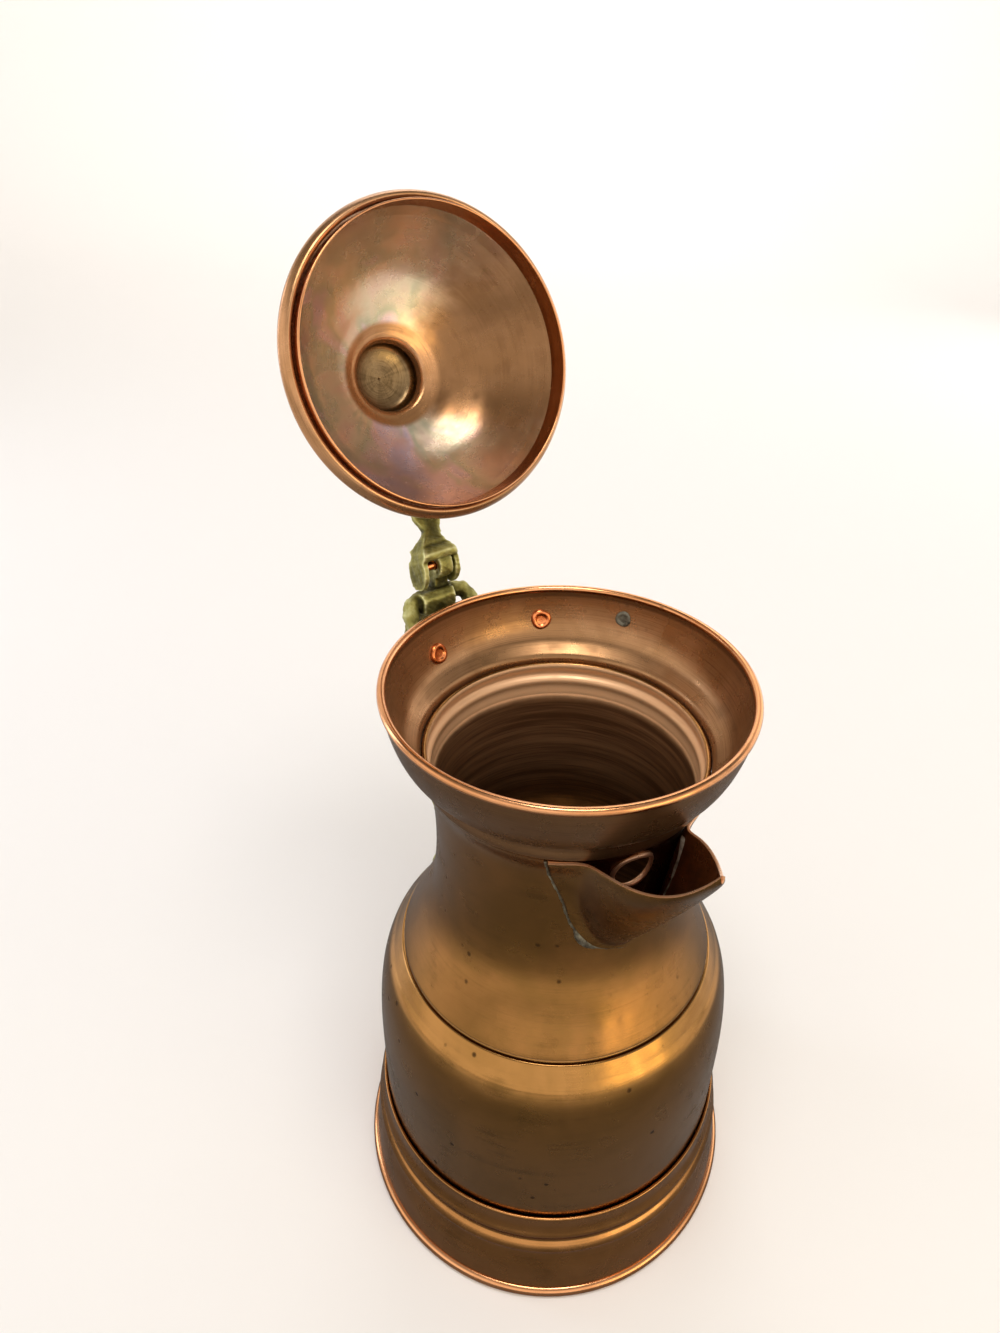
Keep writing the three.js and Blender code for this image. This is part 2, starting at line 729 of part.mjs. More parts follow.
// Room round the arm, seen from above, that narrows the fork's shoulders towards the waist.
function shoulders() {
  const half = forkWidth / 2;
  const wide = lidRadius / 2;
  const outline = polygon([
    [-earWidth, -half], [3, -half], [7, -half + 1.2], [10, -half + 3.4], [13, -half + 6],
    [13, -wide], [lidRadius, -wide], [lidRadius, wide],
    [13, wide], [13, half - 3.6], [10, half - 2.6], [7, half - 1], [3, half], [-earWidth, half],
  ]);
  const prism = new THREE.ExtrudeGeometry(outline, { depth: lidRadius, bevelEnabled: false });
  return toSolid(prism.translate(-hingeReach, hingeSide, pinHeight - wide));
}

// One ear of the fork, an upright oval whose heel meets the crosspiece when the lid is open.
function forkEar(side) {
  const y = hingeSide + side * (forkGap + earThickness) / 2;
  const [half, tall] = [earWidth / 2, earTop - heelFoot];
  const oval = new THREE.Shape();
  oval.absellipse(0, (earTop + heelFoot) / 2, half, tall / 2, 0, 2 * Math.PI, false, 0);
  const heel = polygon([[-4.5, heelFoot], [0, heelFoot], [half * 0.6, 0], [-half, 0]]);
  const plates = [oval, heel].map((outline) => {
    const plate = acrossHinge(outline, earThickness, y).rotateY(openAngle * deg);
    return toSolid(plate.translate(-hingeReach, 0, pinHeight));
  });
  return plates[0].add(plates[1]);
}

// The fork's root wraps over the knuckle: a sector of a ring about the pin.
function saddle() {
  const [inner, outer] = [knuckleRadius + gap, knuckleRadius + gap + saddleThickness];
  const steps = 9;
  const at = (radius, share) => {
    const angle = (saddleEnds[0] + (saddleEnds[1] - saddleEnds[0]) * share) * deg;
    return [-hingeReach + radius * Math.cos(angle), pinHeight + radius * Math.sin(angle)];
  };
  const points = [at(inner - 1, 0), at(inner + 1.2, 0)];
  for (let i = 1; i <= steps; i += 1) points.push(at(outer, i / steps));
  points.push(at(inner - 1, 1));
  return toSolid(acrossHinge(polygon(points), forkWidth, hingeSide));
}

function lidArm() {
  const below = offset(raised(domeLine, lidPlane), gap);
  const [first, last] = [below[0], below[below.length - 1]];
  const dome = toSolid(lean(turned([...below, [0, last[1]], [0, first[1]]])));
  const knuckleRoom = acrossHinge(
    disc(knuckleRadius + gap, -hingeReach, pinHeight), forkGap, hingeSide,
  );
  let solid = armBar().add(saddle()).subtract(toSolid(knuckleRoom));
  solid = solid.add(forkEar(1)).add(forkEar(-1)).intersect(shoulders());
  solid = solid.subtract(dome).subtract(hingeBore());
  return toGeometry(solid);
}

function hingePin() {
  return rod(pinRadius, pinLength).translate(-hingeReach, hingeSide, pinHeight);
}

function piece(name, geometry, material) {
  const mesh = new THREE.Mesh(geometry, new THREE.MeshStandardMaterial(material));
  mesh.name = name;
  return mesh;
}

const group = new THREE.Group();
group.add(
  piece('base_plate', basePlate(), copper),
  piece('foot_wire', wireRing(footRadius, footWireRadius, footWireRadius), bright),
  piece('foot_ring', footRing(), copper),
  piece('lower_body', drilledBody(), copper),
  piece('neck_shell', neckShell(), copper),
  piece('collar', collar(), copper),
  piece('rim_wire', wireRing(rimRadius, rimWireRadius, rimHeight), bright),
  piece('spout', spout(), copper),
  piece('spout_solder', spoutSolder(), solder),
  piece('hole_plug', holePlug(), solder),
  piece('handle', handle(), brass),
  piece('hinge_pin', hingePin(), bright),
);
Object.entries(collarRivets).forEach(([side, place]) => {
  group.add(piece(`collar_rivet_${side}`, collarRivet(place), bright));
});
Object.entries(leafRivets).forEach(([place, position]) => {
  group.add(piece(`leaf_rivet_${place}`, leafRivet(position), bright));
});

// The lid's pieces are drawn closed, then turned about the pin to the open rest pose.
const lid = new THREE.Group();
lid.add(
  piece('lid_dome', lidDome(), copper),
  piece('lid_skirt', lidSkirt(), bright),
  piece('lid_knob', lidKnob(), copper),
  piece('lid_finial', lidFinial(), brass),
  piece('lid_arm', lidArm(), brass),
);
lid.position.set(hingeReach, 0, -pinHeight);
const swing = new THREE.Group();
swing.add(lid);
swing.position.set(-hingeReach, 0, pinHeight);
swing.rotation.y = -openAngle * deg;
group.add(swing);

export default group;
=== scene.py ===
"""Copper jug with an open hinged lid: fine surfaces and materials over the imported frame."""

import bpy
import numpy as np
from mathutils import Matrix


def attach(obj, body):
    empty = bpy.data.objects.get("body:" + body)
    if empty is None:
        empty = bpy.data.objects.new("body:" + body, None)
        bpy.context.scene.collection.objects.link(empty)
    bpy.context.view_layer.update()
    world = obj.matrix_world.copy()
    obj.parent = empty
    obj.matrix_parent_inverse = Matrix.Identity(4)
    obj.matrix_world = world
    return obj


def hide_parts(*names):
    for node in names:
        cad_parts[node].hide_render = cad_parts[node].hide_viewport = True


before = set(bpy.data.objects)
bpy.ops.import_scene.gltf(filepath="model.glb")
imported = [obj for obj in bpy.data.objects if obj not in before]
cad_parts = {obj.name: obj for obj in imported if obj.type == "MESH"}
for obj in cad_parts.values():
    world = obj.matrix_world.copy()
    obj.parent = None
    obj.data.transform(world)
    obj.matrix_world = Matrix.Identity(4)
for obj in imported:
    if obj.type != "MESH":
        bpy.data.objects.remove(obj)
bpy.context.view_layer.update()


# Camera
# The photo looks down into the mouth from the spout side, with a focal length in pixels that fits
# it. Its centre of projection lies right of and above the picture's middle, as the shift repeats.
image_width, image_height = 1000, 1333
focal_pixels = 982.7
centre_pixels = (551.54, 510.79)
camera_data = bpy.data.cameras.new("camera")
camera_data.sensor_fit = "AUTO"
camera_data.sensor_width = 36.0
camera_data.lens = camera_data.sensor_width * focal_pixels / image_height
camera_data.shift_x = (image_width / 2 - centre_pixels[0]) / image_height
camera_data.shift_y = (centre_pixels[1] - image_height / 2) / image_height
camera_data.clip_start = 0.01
camera = bpy.data.objects.new("camera", camera_data)
bpy.context.scene.collection.objects.link(camera)
right = np.array([0.6368, 0.76997, 0.04053])
forward = np.array([-0.68774, 0.59099, -0.4216])
forward = forward / np.linalg.norm(forward)
right = right - forward * np.dot(right, forward)
right = right / np.linalg.norm(right)
up = np.cross(right, forward)
place = Matrix(np.column_stack([right, up, -forward]).tolist()).to_4x4()
place.translation = (0.23726, -0.21741, 0.47883)  # metres
camera.matrix_world = place
bpy.context.scene.camera = camera
bpy.context.scene.view_settings.view_transform = "Standard"


# Floor and light
# A pale table top sweeps up behind the jug. The room is bright in front and dimmer behind and
# overhead, with a lamp above, a strip on the left and a paned window on the right. Shade is
# painted into the table for metal: in reflections it is grey close to the jug and white farther away.
def linear(code):
    """Linear RGBA of an sRGB hex colour: each channel c goes to ((c + 0.055) / 1.055) ** 2.4."""
    channels = [int(code[i : i + 2], 16) / 255 for i in (1, 3, 5)]
    return [c / 12.92 if c < 0.04045 else ((c + 0.055) / 1.055) ** 2.4 for c in channels] + [1.0]


def node(tree, kind, links=None, **settings):
    """Adds one shader node. links maps an input's name or number to a socket or a constant."""
    made = tree.nodes.new("ShaderNode" + kind)
    for key, value in settings.items():
        setattr(made, key, value)
    for key, value in (links or {}).items():
        if isinstance(value, bpy.types.NodeSocket):
            tree.links.new(value, made.inputs[key])
        else:
            made.inputs[key].default_value = value
    return made


def new_material(name):
    """An empty node material: its tree, and a Principled shader on its output."""
    material = bpy.data.materials.new(name)
    material.use_nodes = True
    tree = material.node_tree
    tree.nodes.clear()
    shader = node(tree, "BsdfPrincipled")
    output = node(tree, "OutputMaterial")
    tree.links.new(shader.outputs[0], output.inputs[0])
    return material, tree, shader


def mesh_object(name, points, faces, body=None):
    """An object at the origin from points in mm and lists of point numbers; it rides on a body."""
    mesh = bpy.data.meshes.new(name)
    mesh.from_pydata((np.asarray(points) / 1000).tolist(), [], faces)
    mesh.polygons.foreach_set("use_smooth", [True] * len(mesh.polygons))
    made = bpy.data.objects.new(name, mesh)
    bpy.context.scene.collection.objects.link(made)
    if body:
        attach(made, body)
    return made


def area_light(name, where, target, size, power, colour):
    """A rectangular lamp at a place in metres that faces a target."""
    data = bpy.data.lights.new(name, "AREA")
    data.shape = "RECTANGLE"
    data.size, data.size_y = size
    data.energy = power
    data.color = linear(colour)[:3]
    lamp = bpy.data.objects.new(name, data)
    bpy.context.scene.collection.objects.link(lamp)
    away = np.array(where) - np.array(target)
    away = away / np.linalg.norm(away)
    side = np.cross([0, 0, 1], away)
    side = side / np.linalg.norm(side)
    turn = Matrix(np.column_stack([side, np.cross(away, side), away]).tolist()).to_4x4()
    turn.translation = where
    lamp.matrix_world = turn


arc = np.linspace(0, np.pi / 2, 12)
bend_start, bend_radius = 1900, 800
front_end, wall_top, half_span = -3500, 3200, 4500
curve = np.column_stack([bend_start + bend_radius * np.sin(arc), bend_radius * (1 - np.cos(arc))])
sweep = np.vstack([[(front_end, 0)], curve, [(bend_start + bend_radius, wall_top)]])
behind, beside = np.array([-0.76, 0.65, 0.0]), np.array([0.65, 0.76, 0.0])
corners = [s * behind + [0, 0, z] + side * beside for s, z in sweep for side in (-half_span, half_span)]
strips = [[2 * i, 2 * i + 1, 2 * i + 3, 2 * i + 2] for i in range(len(sweep) - 1)]
floor = mesh_object("floor", corners, strips)
floor_paint, tree, shader = new_material("matt white table top with painted shade in reflections")
shader.inputs["Roughness"].default_value = 0.8
shader.inputs["Specular IOR Level"].default_value = 0.1
place = node(tree, "NewGeometry").outputs["Position"]
reach = node(tree, "VectorMath", {0: place}, operation="LENGTH").outputs["Value"]
links = {"Value": reach, "From Min": 0.22, "From Max": 0.6, "To Min": 0.22, "To Max": 1.0}
reflected_shade = node(tree, "MapRange", links, interpolation_type="SMOOTHSTEP").outputs[0]
# Painted shade: rays reflected off metal see the table grey near the jug, while the camera sees it white.
links = {0: node(tree, "LightPath").outputs["Is Glossy Ray"], 6: linear("#eeebe8"), 7: reflected_shade}
seen = node(tree, "Mix", links, data_type="RGBA").outputs[2]
tree.links.new(seen, shader.inputs["Base Color"])
floor.data.materials.append(floor_paint)
world = bpy.data.worlds.new("room")
bpy.context.scene.world = world
world.use_nodes = True
tree = world.node_tree
toward = node(tree, "TexCoord").outputs["Generated"]
to_front = (0.73, -0.68, 0.0)
front = node(tree, "VectorMath", {0: toward, 1: to_front}, operation="DOT_PRODUCT").outputs["Value"]
links = {"Value": front, "From Min": -0.35, "From Max": 0.25, "To Min": 0.45, "To Max": 1.7}
front = node(tree, "MapRange", links, interpolation_type="SMOOTHSTEP").outputs[0]
height = node(tree, "SeparateXYZ", {0: toward}).outputs[2]
links = {"Value": height, "From Min": 0.45, "From Max": 0.8, "To Min": 1.0, "To Max": 0.3}
height = node(tree, "MapRange", links, interpolation_type="SMOOTHSTEP").outputs[0]
room_light = node(tree, "Math", {0: front, 1: height}, operation="MULTIPLY").outputs[0]
tree.links.new(room_light, tree.nodes["Background"].inputs["Strength"])
tree.nodes["Background"].inputs["Color"].default_value = linear("#f4efe9")
area_light("lamp", (0.22, -0.16, 1.3), (0, 0, 0.2), (0.42, 0.36), 5.5, "#ffffff")
area_light("left strip", (-1.1, -0.7, 0.5), (0, 0, 0.2), (0.3, 0.9), 3.5, "#e6eeff")
area_light("right wall", (0.25, 1.7, 0.5), (0, 0, 0.2), (1.6, 1.1), 7, "#ffffff")
window_distance, lowest_pane, row_step, column_step = 1.2, 0.1, 0.19, 12
for row in range(3):
    for column in range(3):
        turn = np.radians(-5 + column_step * column)
        height = lowest_pane + row_step * row
        place = (window_distance * np.cos(turn), window_distance * np.sin(turn), height)
        power = 0.2 + 0.14 * row
        area_light(f"window {row} {column}", place, (0, 0, 0.15), (0.17, 0.15), power, "#ffe9a8")
area_light("sweep wash", (-1.5, 1.2, 2.2), (-2.1, 1.8, 0.3), (1.2, 1.2), 16, "#ffffff")


# Base plate
# A flat disc of copper sheet that closes the bottom, lightly domed by the hammer. It lies inside
# the foot ring, just above the table, and is as tarnished as the body above it.
def spline(points, steps):
    """Catmull-Rom curve through the points, with so many steps between each two neighbours."""
    p = np.asarray(points, float)
    p = np.vstack([p[:1], p, p[-1:]])
    rows = []
    for i in range(len(p) - 3):
        a, b, c, d = p[i : i + 4]
        t = np.linspace(0, 1, steps, endpoint=False)[:, None]
        v0, v1 = (c - a) / 2, (d - b) / 2
        rows.append(
            (2 * b - 2 * c + v0 + v1) * t**3 + (-3 * b + 3 * c - 2 * v0 - v1) * t**2 + v0 * t + b
        )
    return np.vstack(rows + [p[-1:]])


def offset(line, distance):
    """A line of (radius, height) moved along its own normals, to the right of its direction."""
    tangent = np.gradient(line, axis=0)
    tangent = tangent / np.linalg.norm(tangent, axis=1, keepdims=True)
    return line + distance * np.column_stack([tangent[:, 1], -tangent[:, 0]])


def sheet(line, thickness, edge_steps=5):
    """A closed profile: the outer line, the inner line behind it, and a half round at each end."""
    inner = offset(line, -thickness)
    parts = [line]
    for end, start, stop in ((-1, line[-1], inner[-1]), (0, inner[0], line[0])):
        along = line[-1] - line[-2] if end else line[0] - line[1]
        along = along / np.linalg.norm(along) * thickness / 2
        middle, half = (start + stop) / 2, (start - stop) / 2
        angle = np.linspace(0, np.pi, edge_steps + 2)[1:-1, None]
        parts.append(middle + half * np.cos(angle) + along * np.sin(angle))
        if end:
            parts.append(inner[::-1])
    return np.vstack(parts)


def lathe(name, profile, body, turns=216, bend=None):
    """A closed (radius, height) profile in mm turned about Z: x = r cos a, y = r sin a.

    bend moves the finished points. The point attribute spun holds (cos a, sin a, way along the
    profile in mm), and the UV map runs round the axis and along the profile."""
    profile = np.asarray(profile, float)
    rows = len(profile)
    angle = np.linspace(0, 2 * np.pi, turns, endpoint=False)
    radius = np.maximum(profile[:, 0], 0.02)
    points = np.empty((turns, rows, 3))
    points[..., 0] = radius * np.cos(angle)[:, None]
    points[..., 1] = radius * np.sin(angle)[:, None]
    points[..., 2] = profile[:, 1]
    points = points.reshape(-1, 3)
    if bend:
        points = bend(points)
    i, j = np.meshgrid(np.arange(turns), np.arange(rows), indexing="ij")
    a = i * rows + j
    b = (i + 1) % turns * rows + j
    c = (i + 1) % turns * rows + (j + 1) % rows
    d = i * rows + (j + 1) % rows
    faces = np.stack([a, b, c, d], -1).reshape(-1, 4)
    after = np.roll(profile, -1, axis=0)
    turned = np.sum(profile[:, 0] * after[:, 1] - profile[:, 1] * after[:, 0])
    corner_u = np.stack([i, i + 1, i + 1, i], -1).reshape(-1, 4) / turns
    way = np.concatenate([[0], np.cumsum(np.linalg.norm(after - profile, axis=1))])
    corner_v = np.stack([way[j], way[j], way[j + 1], way[j + 1]], -1).reshape(-1, 4) / 100
    if turned < 0:
        faces, corner_u, corner_v = faces[:, ::-1], corner_u[:, ::-1], corner_v[:, ::-1]
    made = mesh_object(name, points, faces.tolist(), body)
    uv = made.data.uv_layers.new(name="around")
    uv.data.foreach_set("uv", np.stack([corner_u, corner_v], -1).ravel())
    spun = np.empty((turns, rows, 3))
    spun[..., 0] = np.cos(angle)[:, None]
    spun[..., 1] = np.sin(angle)[:, None]
    spun[..., 2] = way[:-1]
    made.data.attributes.new("spun", "FLOAT_VECTOR", "POINT").data.foreach_set("vector", spun.ravel())
    return made


def finish_piece(made, material, slot, *nodes):
    """The piece takes its material, and stands for the CAD nodes, which it hides. slot is not used."""
    made.data.materials.append(material)
    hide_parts(*nodes)


def spun_copper(
    name,
    fresh,
    worn,
    tarnish,
    amount=0.5,
    gloss=0.26,
    grain=1.0,
    spots=0.5,
    seed=0.0,
    brush=0.55,
    inside=None,
    outside=None,
    film_and_reflection=None,
    metal=1.0,
):
    """Copper sheet finished on a lathe and tarnished by use.

    Fine circles from the spinning follow the attribute spun, and stretch its highlights across
    them. Clouds of brown tarnish, small dark specks and shallow hammer marks follow the object's
    own coordinates. amount is the share of tarnish, grain the depth of the circles and brush the
    shader's anisotropy. The other three are ways along the profile, in mm. After the first way of
    inside the sheet is painted pale, a painted highlight standing for the light on the mouth's flare,
    and after the second brown with oxide. Before the way outside it is darker: duller tarnish, and
    painted shade on an underside. From the first way of film_and_reflection to about the second, a
    pale skin with pink, green and lilac tints covers it, partly real tints and partly a painted pale
    reflection, and the side toward +Y is painted darker, with less skin, as painted shade."""
    material, tree, shader = new_material(name)
    spun = node(tree, "Attribute", attribute_name="spun").outputs["Vector"]
    here = node(tree, "TexCoord").outputs["Object"]
    here = node(tree, "VectorMath", {0: here, 1: (seed, seed * 0.7, -seed)}, operation="ADD").outputs[0]
    around_y, way = node(tree, "SeparateXYZ", {0: spun}).outputs[1:]
    # Noise has one lump in 1 / scale of a metre: clouds 48 mm, mottling 12 mm, hammer marks 18 mm,
    # rare spots 30 mm and specks 8 mm. Along the profile, spun gives circles of 0.3 mm, drawn as
    # coarse as the render needs, and of 3 mm.
    patterns = {}
    for key, start, stretch, scale, detail, rough, distortion in (
        ("fine", spun, (1.2, 1.2, 3.2), 1.0, 4.0, 0.65, 0.0),
        ("broad", spun, (0.8, 0.8, 0.35), 1.0, 3.0, 0.6, 0.0),
        ("streak", spun, (5.5, 5.5, 0.02), 1.0, 3.0, 0.5, 0.0),
        ("patch", spun, (1.6, 1.6, 0.03), 1.0, 3.0, 0.55, 0.4),
        ("cloud", here, (1, 1, 1), 21.0, 5.0, 0.6, 0.6),
        ("mottle", here, (1, 1, 1), 85.0, 4.0, 0.62, 0.0),
        ("rare", here, (1, 1, 1), 33.0, 2.0, 0.5, 0.0),
        ("hammer", here, (1, 1, 1), 55.0, 1.5, 0.4, 0.0),
    ):
        vector = node(tree, "VectorMath", {0: start, 1: stretch}, operation="MULTIPLY").outputs[0]
        links = {"Vector": vector, "Scale": scale, "Detail": detail, "Roughness": rough}
        links["Distortion"] = distortion
        patterns[key] = node(tree, "TexNoise", links).outputs[0]
    fine, cloud, mottle = patterns["fine"], patterns["cloud"], patterns["mottle"]
    smooth = {"interpolation_type": "SMOOTHSTEP"}
    rgba = {"data_type": "RGBA"}

    share = node(tree, "MapRange", {0: cloud, 1: 0.36, 2: 0.66}, **smooth).outputs[0]
    colour = node(tree, "Mix", {0: share, 6: linear(fresh), 7: linear(worn)}, **rgba).outputs[2]
    links = {0: patterns["broad"], 1: fine}
    marks = node(tree, "CombineXYZ", links).outputs[0]
    ring_mark = node(tree, "VectorMath", {0: marks, 1: (0.6, 0.4, 0)}, operation="DOT_PRODUCT").outputs[1]
    marks = node(tree, "CombineXYZ", {0: ring_mark, 1: mottle, 2: patterns["streak"]}).outputs[0]
    shade = node(tree, "VectorMath", {0: marks, 1: (0.45, 0.3, 0.25)}, operation="DOT_PRODUCT").outputs[1]
    low = 0.62 - 0.3 * amount
    links = {0: shade, 1: low, 2: low + 0.16, 3: 0, 4: 0.5}
    dull = node(tree, "MapRange", links, **smooth).outputs[0]
    colour = node(tree, "Mix", {0: dull, 6: colour, 7: linear(tarnish)}, **rgba).outputs[2]
    links = {0: fine, 1: 0.48, 2: 0.7, 3: 0, 4: 0.2 * grain}
    brushed = node(tree, "MapRange", links, **smooth).outputs[0]
    colour = node(tree, "Mix", {0: brushed, 6: colour, 7: linear(tarnish)}, **rgba).outputs[2]
    cell = node(tree, "TexVoronoi", {"Vector": here, "Scale": 120.0, "Randomness": 1.0})
    links = {0: cell.outputs["Distance"], 1: 0.17, 2: 0.07, 3: 0, 4: spots}
    speck = node(tree, "MapRange", links, **smooth).outputs[0]
    low = 0.62 - 0.12 * spots
    rare = node(tree, "MapRange", {0: patterns["rare"], 1: low, 2: low + 0.06}, **smooth).outputs[0]
    speck = node(tree, "Math", {0: speck, 1: rare}, operation="MULTIPLY").outputs[0]
    colour = node(tree, "Mix", {0: speck, 6: colour, 7: linear("#2a1c10")}, **rgba).outputs[2]

    if film_and_reflection:
        # The pale skin is partly real tinted film and partly a painted pale reflection.
        skin = node(tree, "ValToRGB", {"Fac": patterns["patch"]})
        tints = [(0.3, "#dcbcac"), (0.42, "#dccbb0"), (0.5, "#c0bda2"), (0.58, "#dec2c0"), (0.7, "#c8bcd0")]
        for position, code in tints[1:-1]:
            skin.color_ramp.elements.new(position)
        for element, (position, code) in zip(skin.color_ramp.elements, tints):
            element.position = position
            element.color = linear(code)
        edge = node(tree, "Math", {0: cloud, 1: 0.5}, operation="SUBTRACT").outputs[0]
        edge = node(tree, "Math", {0: edge, 1: 40.0, 2: way}, operation="MULTIPLY_ADD").outputs[0]
        # Painted shade: toward +Y the lid is darkened toward tarnish and loses its pale skin.
        side = node(tree, "Math", {0: cloud, 1: 0.6, 2: around_y}, operation="MULTIPLY_ADD").outputs[0]
        begun = node(tree, "MapRange", {0: way, 1: film_and_reflection[0] - 3, 2: film_and_reflection[0]}, **smooth).outputs[0]
        links = {0: side, 1: 0.8, 2: 1.25, 3: 0, 4: 0.75}
        painted_side_shade = node(tree, "MapRange", links, **smooth).outputs[0]
        painted_side_shade = node(tree, "Math", {0: painted_side_shade, 1: begun}, operation="MULTIPLY").outputs[0]
        colour = node(tree, "Mix", {0: painted_side_shade, 6: colour, 7: linear(tarnish)}, **rgba).outputs[2]
        left = node(tree, "MapRange", {0: side, 1: 1.15, 2: 0.6}, **smooth).outputs[0]
        links = {0: edge, 1: film_and_reflection[1], 2: film_and_reflection[0] + 8, 3: 0, 4: 0.92}
        film_and_reflection_cover = node(tree, "MapRange", links, **smooth).outputs[0]
        film_and_reflection_cover = node(tree, "Math", {0: film_and_reflection_cover, 1: begun}, operation="MULTIPLY").outputs[0]
        film_and_reflection_cover = node(tree, "Math", {0: film_and_reflection_cover, 1: left}, operation="MULTIPLY").outputs[0]
        colour = node(tree, "Mix", {0: film_and_reflection_cover, 6: colour, 7: skin.outputs[0]}, **rgba).outputs[2]
    if outside:
        # Painted shade with duller tarnish: the outside, the bowl's underside, is darkened toward the
        # tarnish colour.
        links = {0: way, 1: outside + 1, 2: outside, 3: 0, 4: 0.7}
        darker = node(tree, "MapRange", links, **smooth).outputs[0]
        colour = node(tree, "Mix", {0: darker, 6: colour, 7: linear(tarnish)}, **rgba).outputs[2]

    links = {0: mottle, 1: shade}
    gloss_mark = node(tree, "Math", links, operation="ADD").outputs[0]
    links = {0: gloss_mark, 1: 0.7, 2: 1.36, 3: gloss - 0.07, 4: gloss + 0.13}
    rough = node(tree, "MapRange", links).outputs[0]
    shader.inputs["Metallic"].default_value = metal
    if inside:
        within = node(tree, "MapRange", {0: way, 1: inside[0], 2: inside[0] + 1}, **smooth).outputs[0]
        ragged = node(tree, "Math", {0: mottle, 1: 2.0, 2: way}, operation="MULTIPLY_ADD").outputs[0]
        deeper = node(tree, "MapRange", {0: ragged, 1: inside[1], 2: inside[1] + 3.5}, **smooth).outputs[0]
        rings = node(tree, "MapRange", {0: ring_mark, 1: 0.38, 2: 0.66}, **smooth).outputs[0]
        inside_colour = node(tree, "Mix", {0: rings, 6: linear("#573720"), 7: linear("#8f6846")}, **rgba).outputs[2]
        # Painted highlight: the first band inside is painted pale, as if lit, before the brown oxide.
        inside_colour = node(tree, "Mix", {0: deeper, 6: linear("#e4b486"), 7: inside_colour}, **rgba).outputs[2]
        colour = node(tree, "Mix", {0: within, 6: colour, 7: inside_colour}, **rgba).outputs[2]
        metallic = node(tree, "MapRange", {0: within, 3: metal, 4: 0.35}).outputs[0]
        tree.links.new(metallic, shader.inputs["Metallic"])
        rough = node(tree, "Math", {0: within, 1: 0.15, 2: rough}, operation="MULTIPLY_ADD").outputs[0]
    tree.links.new(colour, shader.inputs["Base Color"])
    rough = node(tree, "Math", {0: speck, 1: 0.3, 2: rough}, operation="MULTIPLY_ADD").outputs[0]
    tree.links.new(rough, shader.inputs["Roughness"])
    shader.inputs["Anisotropic"].default_value = brush
    tangent = node(tree, "Tangent", direction_type="UV_MAP", uv_map="around")
    tree.links.new(tangent.outputs[0], shader.inputs["Tangent"])
    marks = node(tree, "CombineXYZ", {0: fine, 1: patterns["hammer"], 2: speck}).outputs[0]
    depths = (0.010 * grain, 0.09, -0.03)
    height = node(tree, "VectorMath", {0: marks, 1: depths}, operation="DOT_PRODUCT").outputs[1]
    bump = node(tree, "Bump", {"Height": height, "Strength": 1.0, "Distance": 0.001})
    tree.links.new(bump.outputs[0], shader.inputs["Normal"])
    return material


# Old copper, dark olive brown and half glossy, which mirrors the room in soft bands.
body_colours = ("#a07340", "#8f6736", "#5a421f")
# Inside it is brown oxide, after a 2 mm pale band that is a painted highlight.
body_copper = spun_copper(
    "tarnished body copper", *body_colours, 0.4, 0.2, 0.7, 0.8, 0.0, inside=(137, 139)
)
base_line = [
    (0.0, 0.25),
    (40.0, 0.2),
    (74.0, 0.05),
    (79.0, 0.05),
    (79.4, 0.5),
    (79.4, 1.2),
    (79.0, 1.6),
    (0.0, 1.8),
]
base = lathe("fine_base_plate", base_line, "jug", 144)
finish_piece(base, body_copper, "copper", "base_plate")


# Foot wire
# The lower edge of the foot is rolled over a thick copper wire, which stiffens it. The roll is
# rubbed bright where the jug is set down.
def wire(name, radius, thickness, height, body, turns=240, sides=20, bend=None):
    """A ring of round wire: a circle turned about Z.

    radius is the ring's outer radius, thickness the wire's radius and height its middle, in mm."""
    angle = np.linspace(0, 2 * np.pi, sides, endpoint=False)
    middle = radius - thickness
    profile = np.column_stack([middle + thickness * np.cos(angle), height + thickness * np.sin(angle)])
    return lathe(name, profile, body, turns, bend)


# Copper polished by hands and tables: pale orange, with sharper highlights than the sheet.
edge_colours = ("#d69a6c", "#c28454", "#75502c")
edge_copper = spun_copper("rubbed edge copper", *edge_colours, 0.25, 0.2, 0.5, 0.3, 0.3, 0.2)
foot_wire = wire("fine_foot_wire", 84.6, 2.4, 2.4, "jug")
finish_piece(foot_wire, edge_copper, "worn_copper", "foot_wire")


# Foot ring
# A spreading foot of its own copper sheet, with two hammered ridges, that hugs the lower body
# and is soldered to it at its top.
sheet_thickness = 1.2
foot_points = [
    (82.9, 4.4),
    (82.5, 8.5),
    (81.6, 16.0),
    (80.3, 22.5),
    (80.1, 25.0),
    (80.9, 27.0),
    (80.0, 29.2),
    (78.7, 31.2),
    (79.0, 33.0),
    (79.8, 35.0),
    (79.0, 37.2),
    (78.4, 39.5),
    (78.3, 44.0),
]
# The same old copper as the body, handled more, so paler and redder.
foot_colours = ("#b07c4a", "#9c6c3c", "#5e4522")
foot_copper = spun_copper("foot copper", *foot_colours, 0.4, 0.22, 0.8, 0.5, 0.6)
foot_ring = lathe("fine_foot_ring", sheet(spline(foot_points, 5), sheet_thickness), "jug")
finish_piece(foot_ring, foot_copper, "copper", "foot_ring")


# Lower body
# A deep pail beaten from copper sheet, widest at two thirds of its height, whose rounded
# shoulder turns in under the neck shell. It is the most tarnished sheet, with dark specks.
body_points = [
    (75.8, 1.9),
    (76.2, 34.0),
    (77.2, 56.0),
    (78.2, 86.0),
    (77.2, 104.0),
    (74.6, 115.0),
    (71.4, 120.2),
    (69.0, 123.7),
    (68.0, 124.9),
    (66.6, 125.2),
    (65.8, 127.0),
    (65.0, 129.4),
    (64.0, 131.0),
]
body_line = spline(body_points, 14)
lower_body = lathe("fine_lower_body", sheet(body_line, sheet_thickness), "jug", 240)
finish_piece(lower_body, body_copper, "copper", "lower_body")


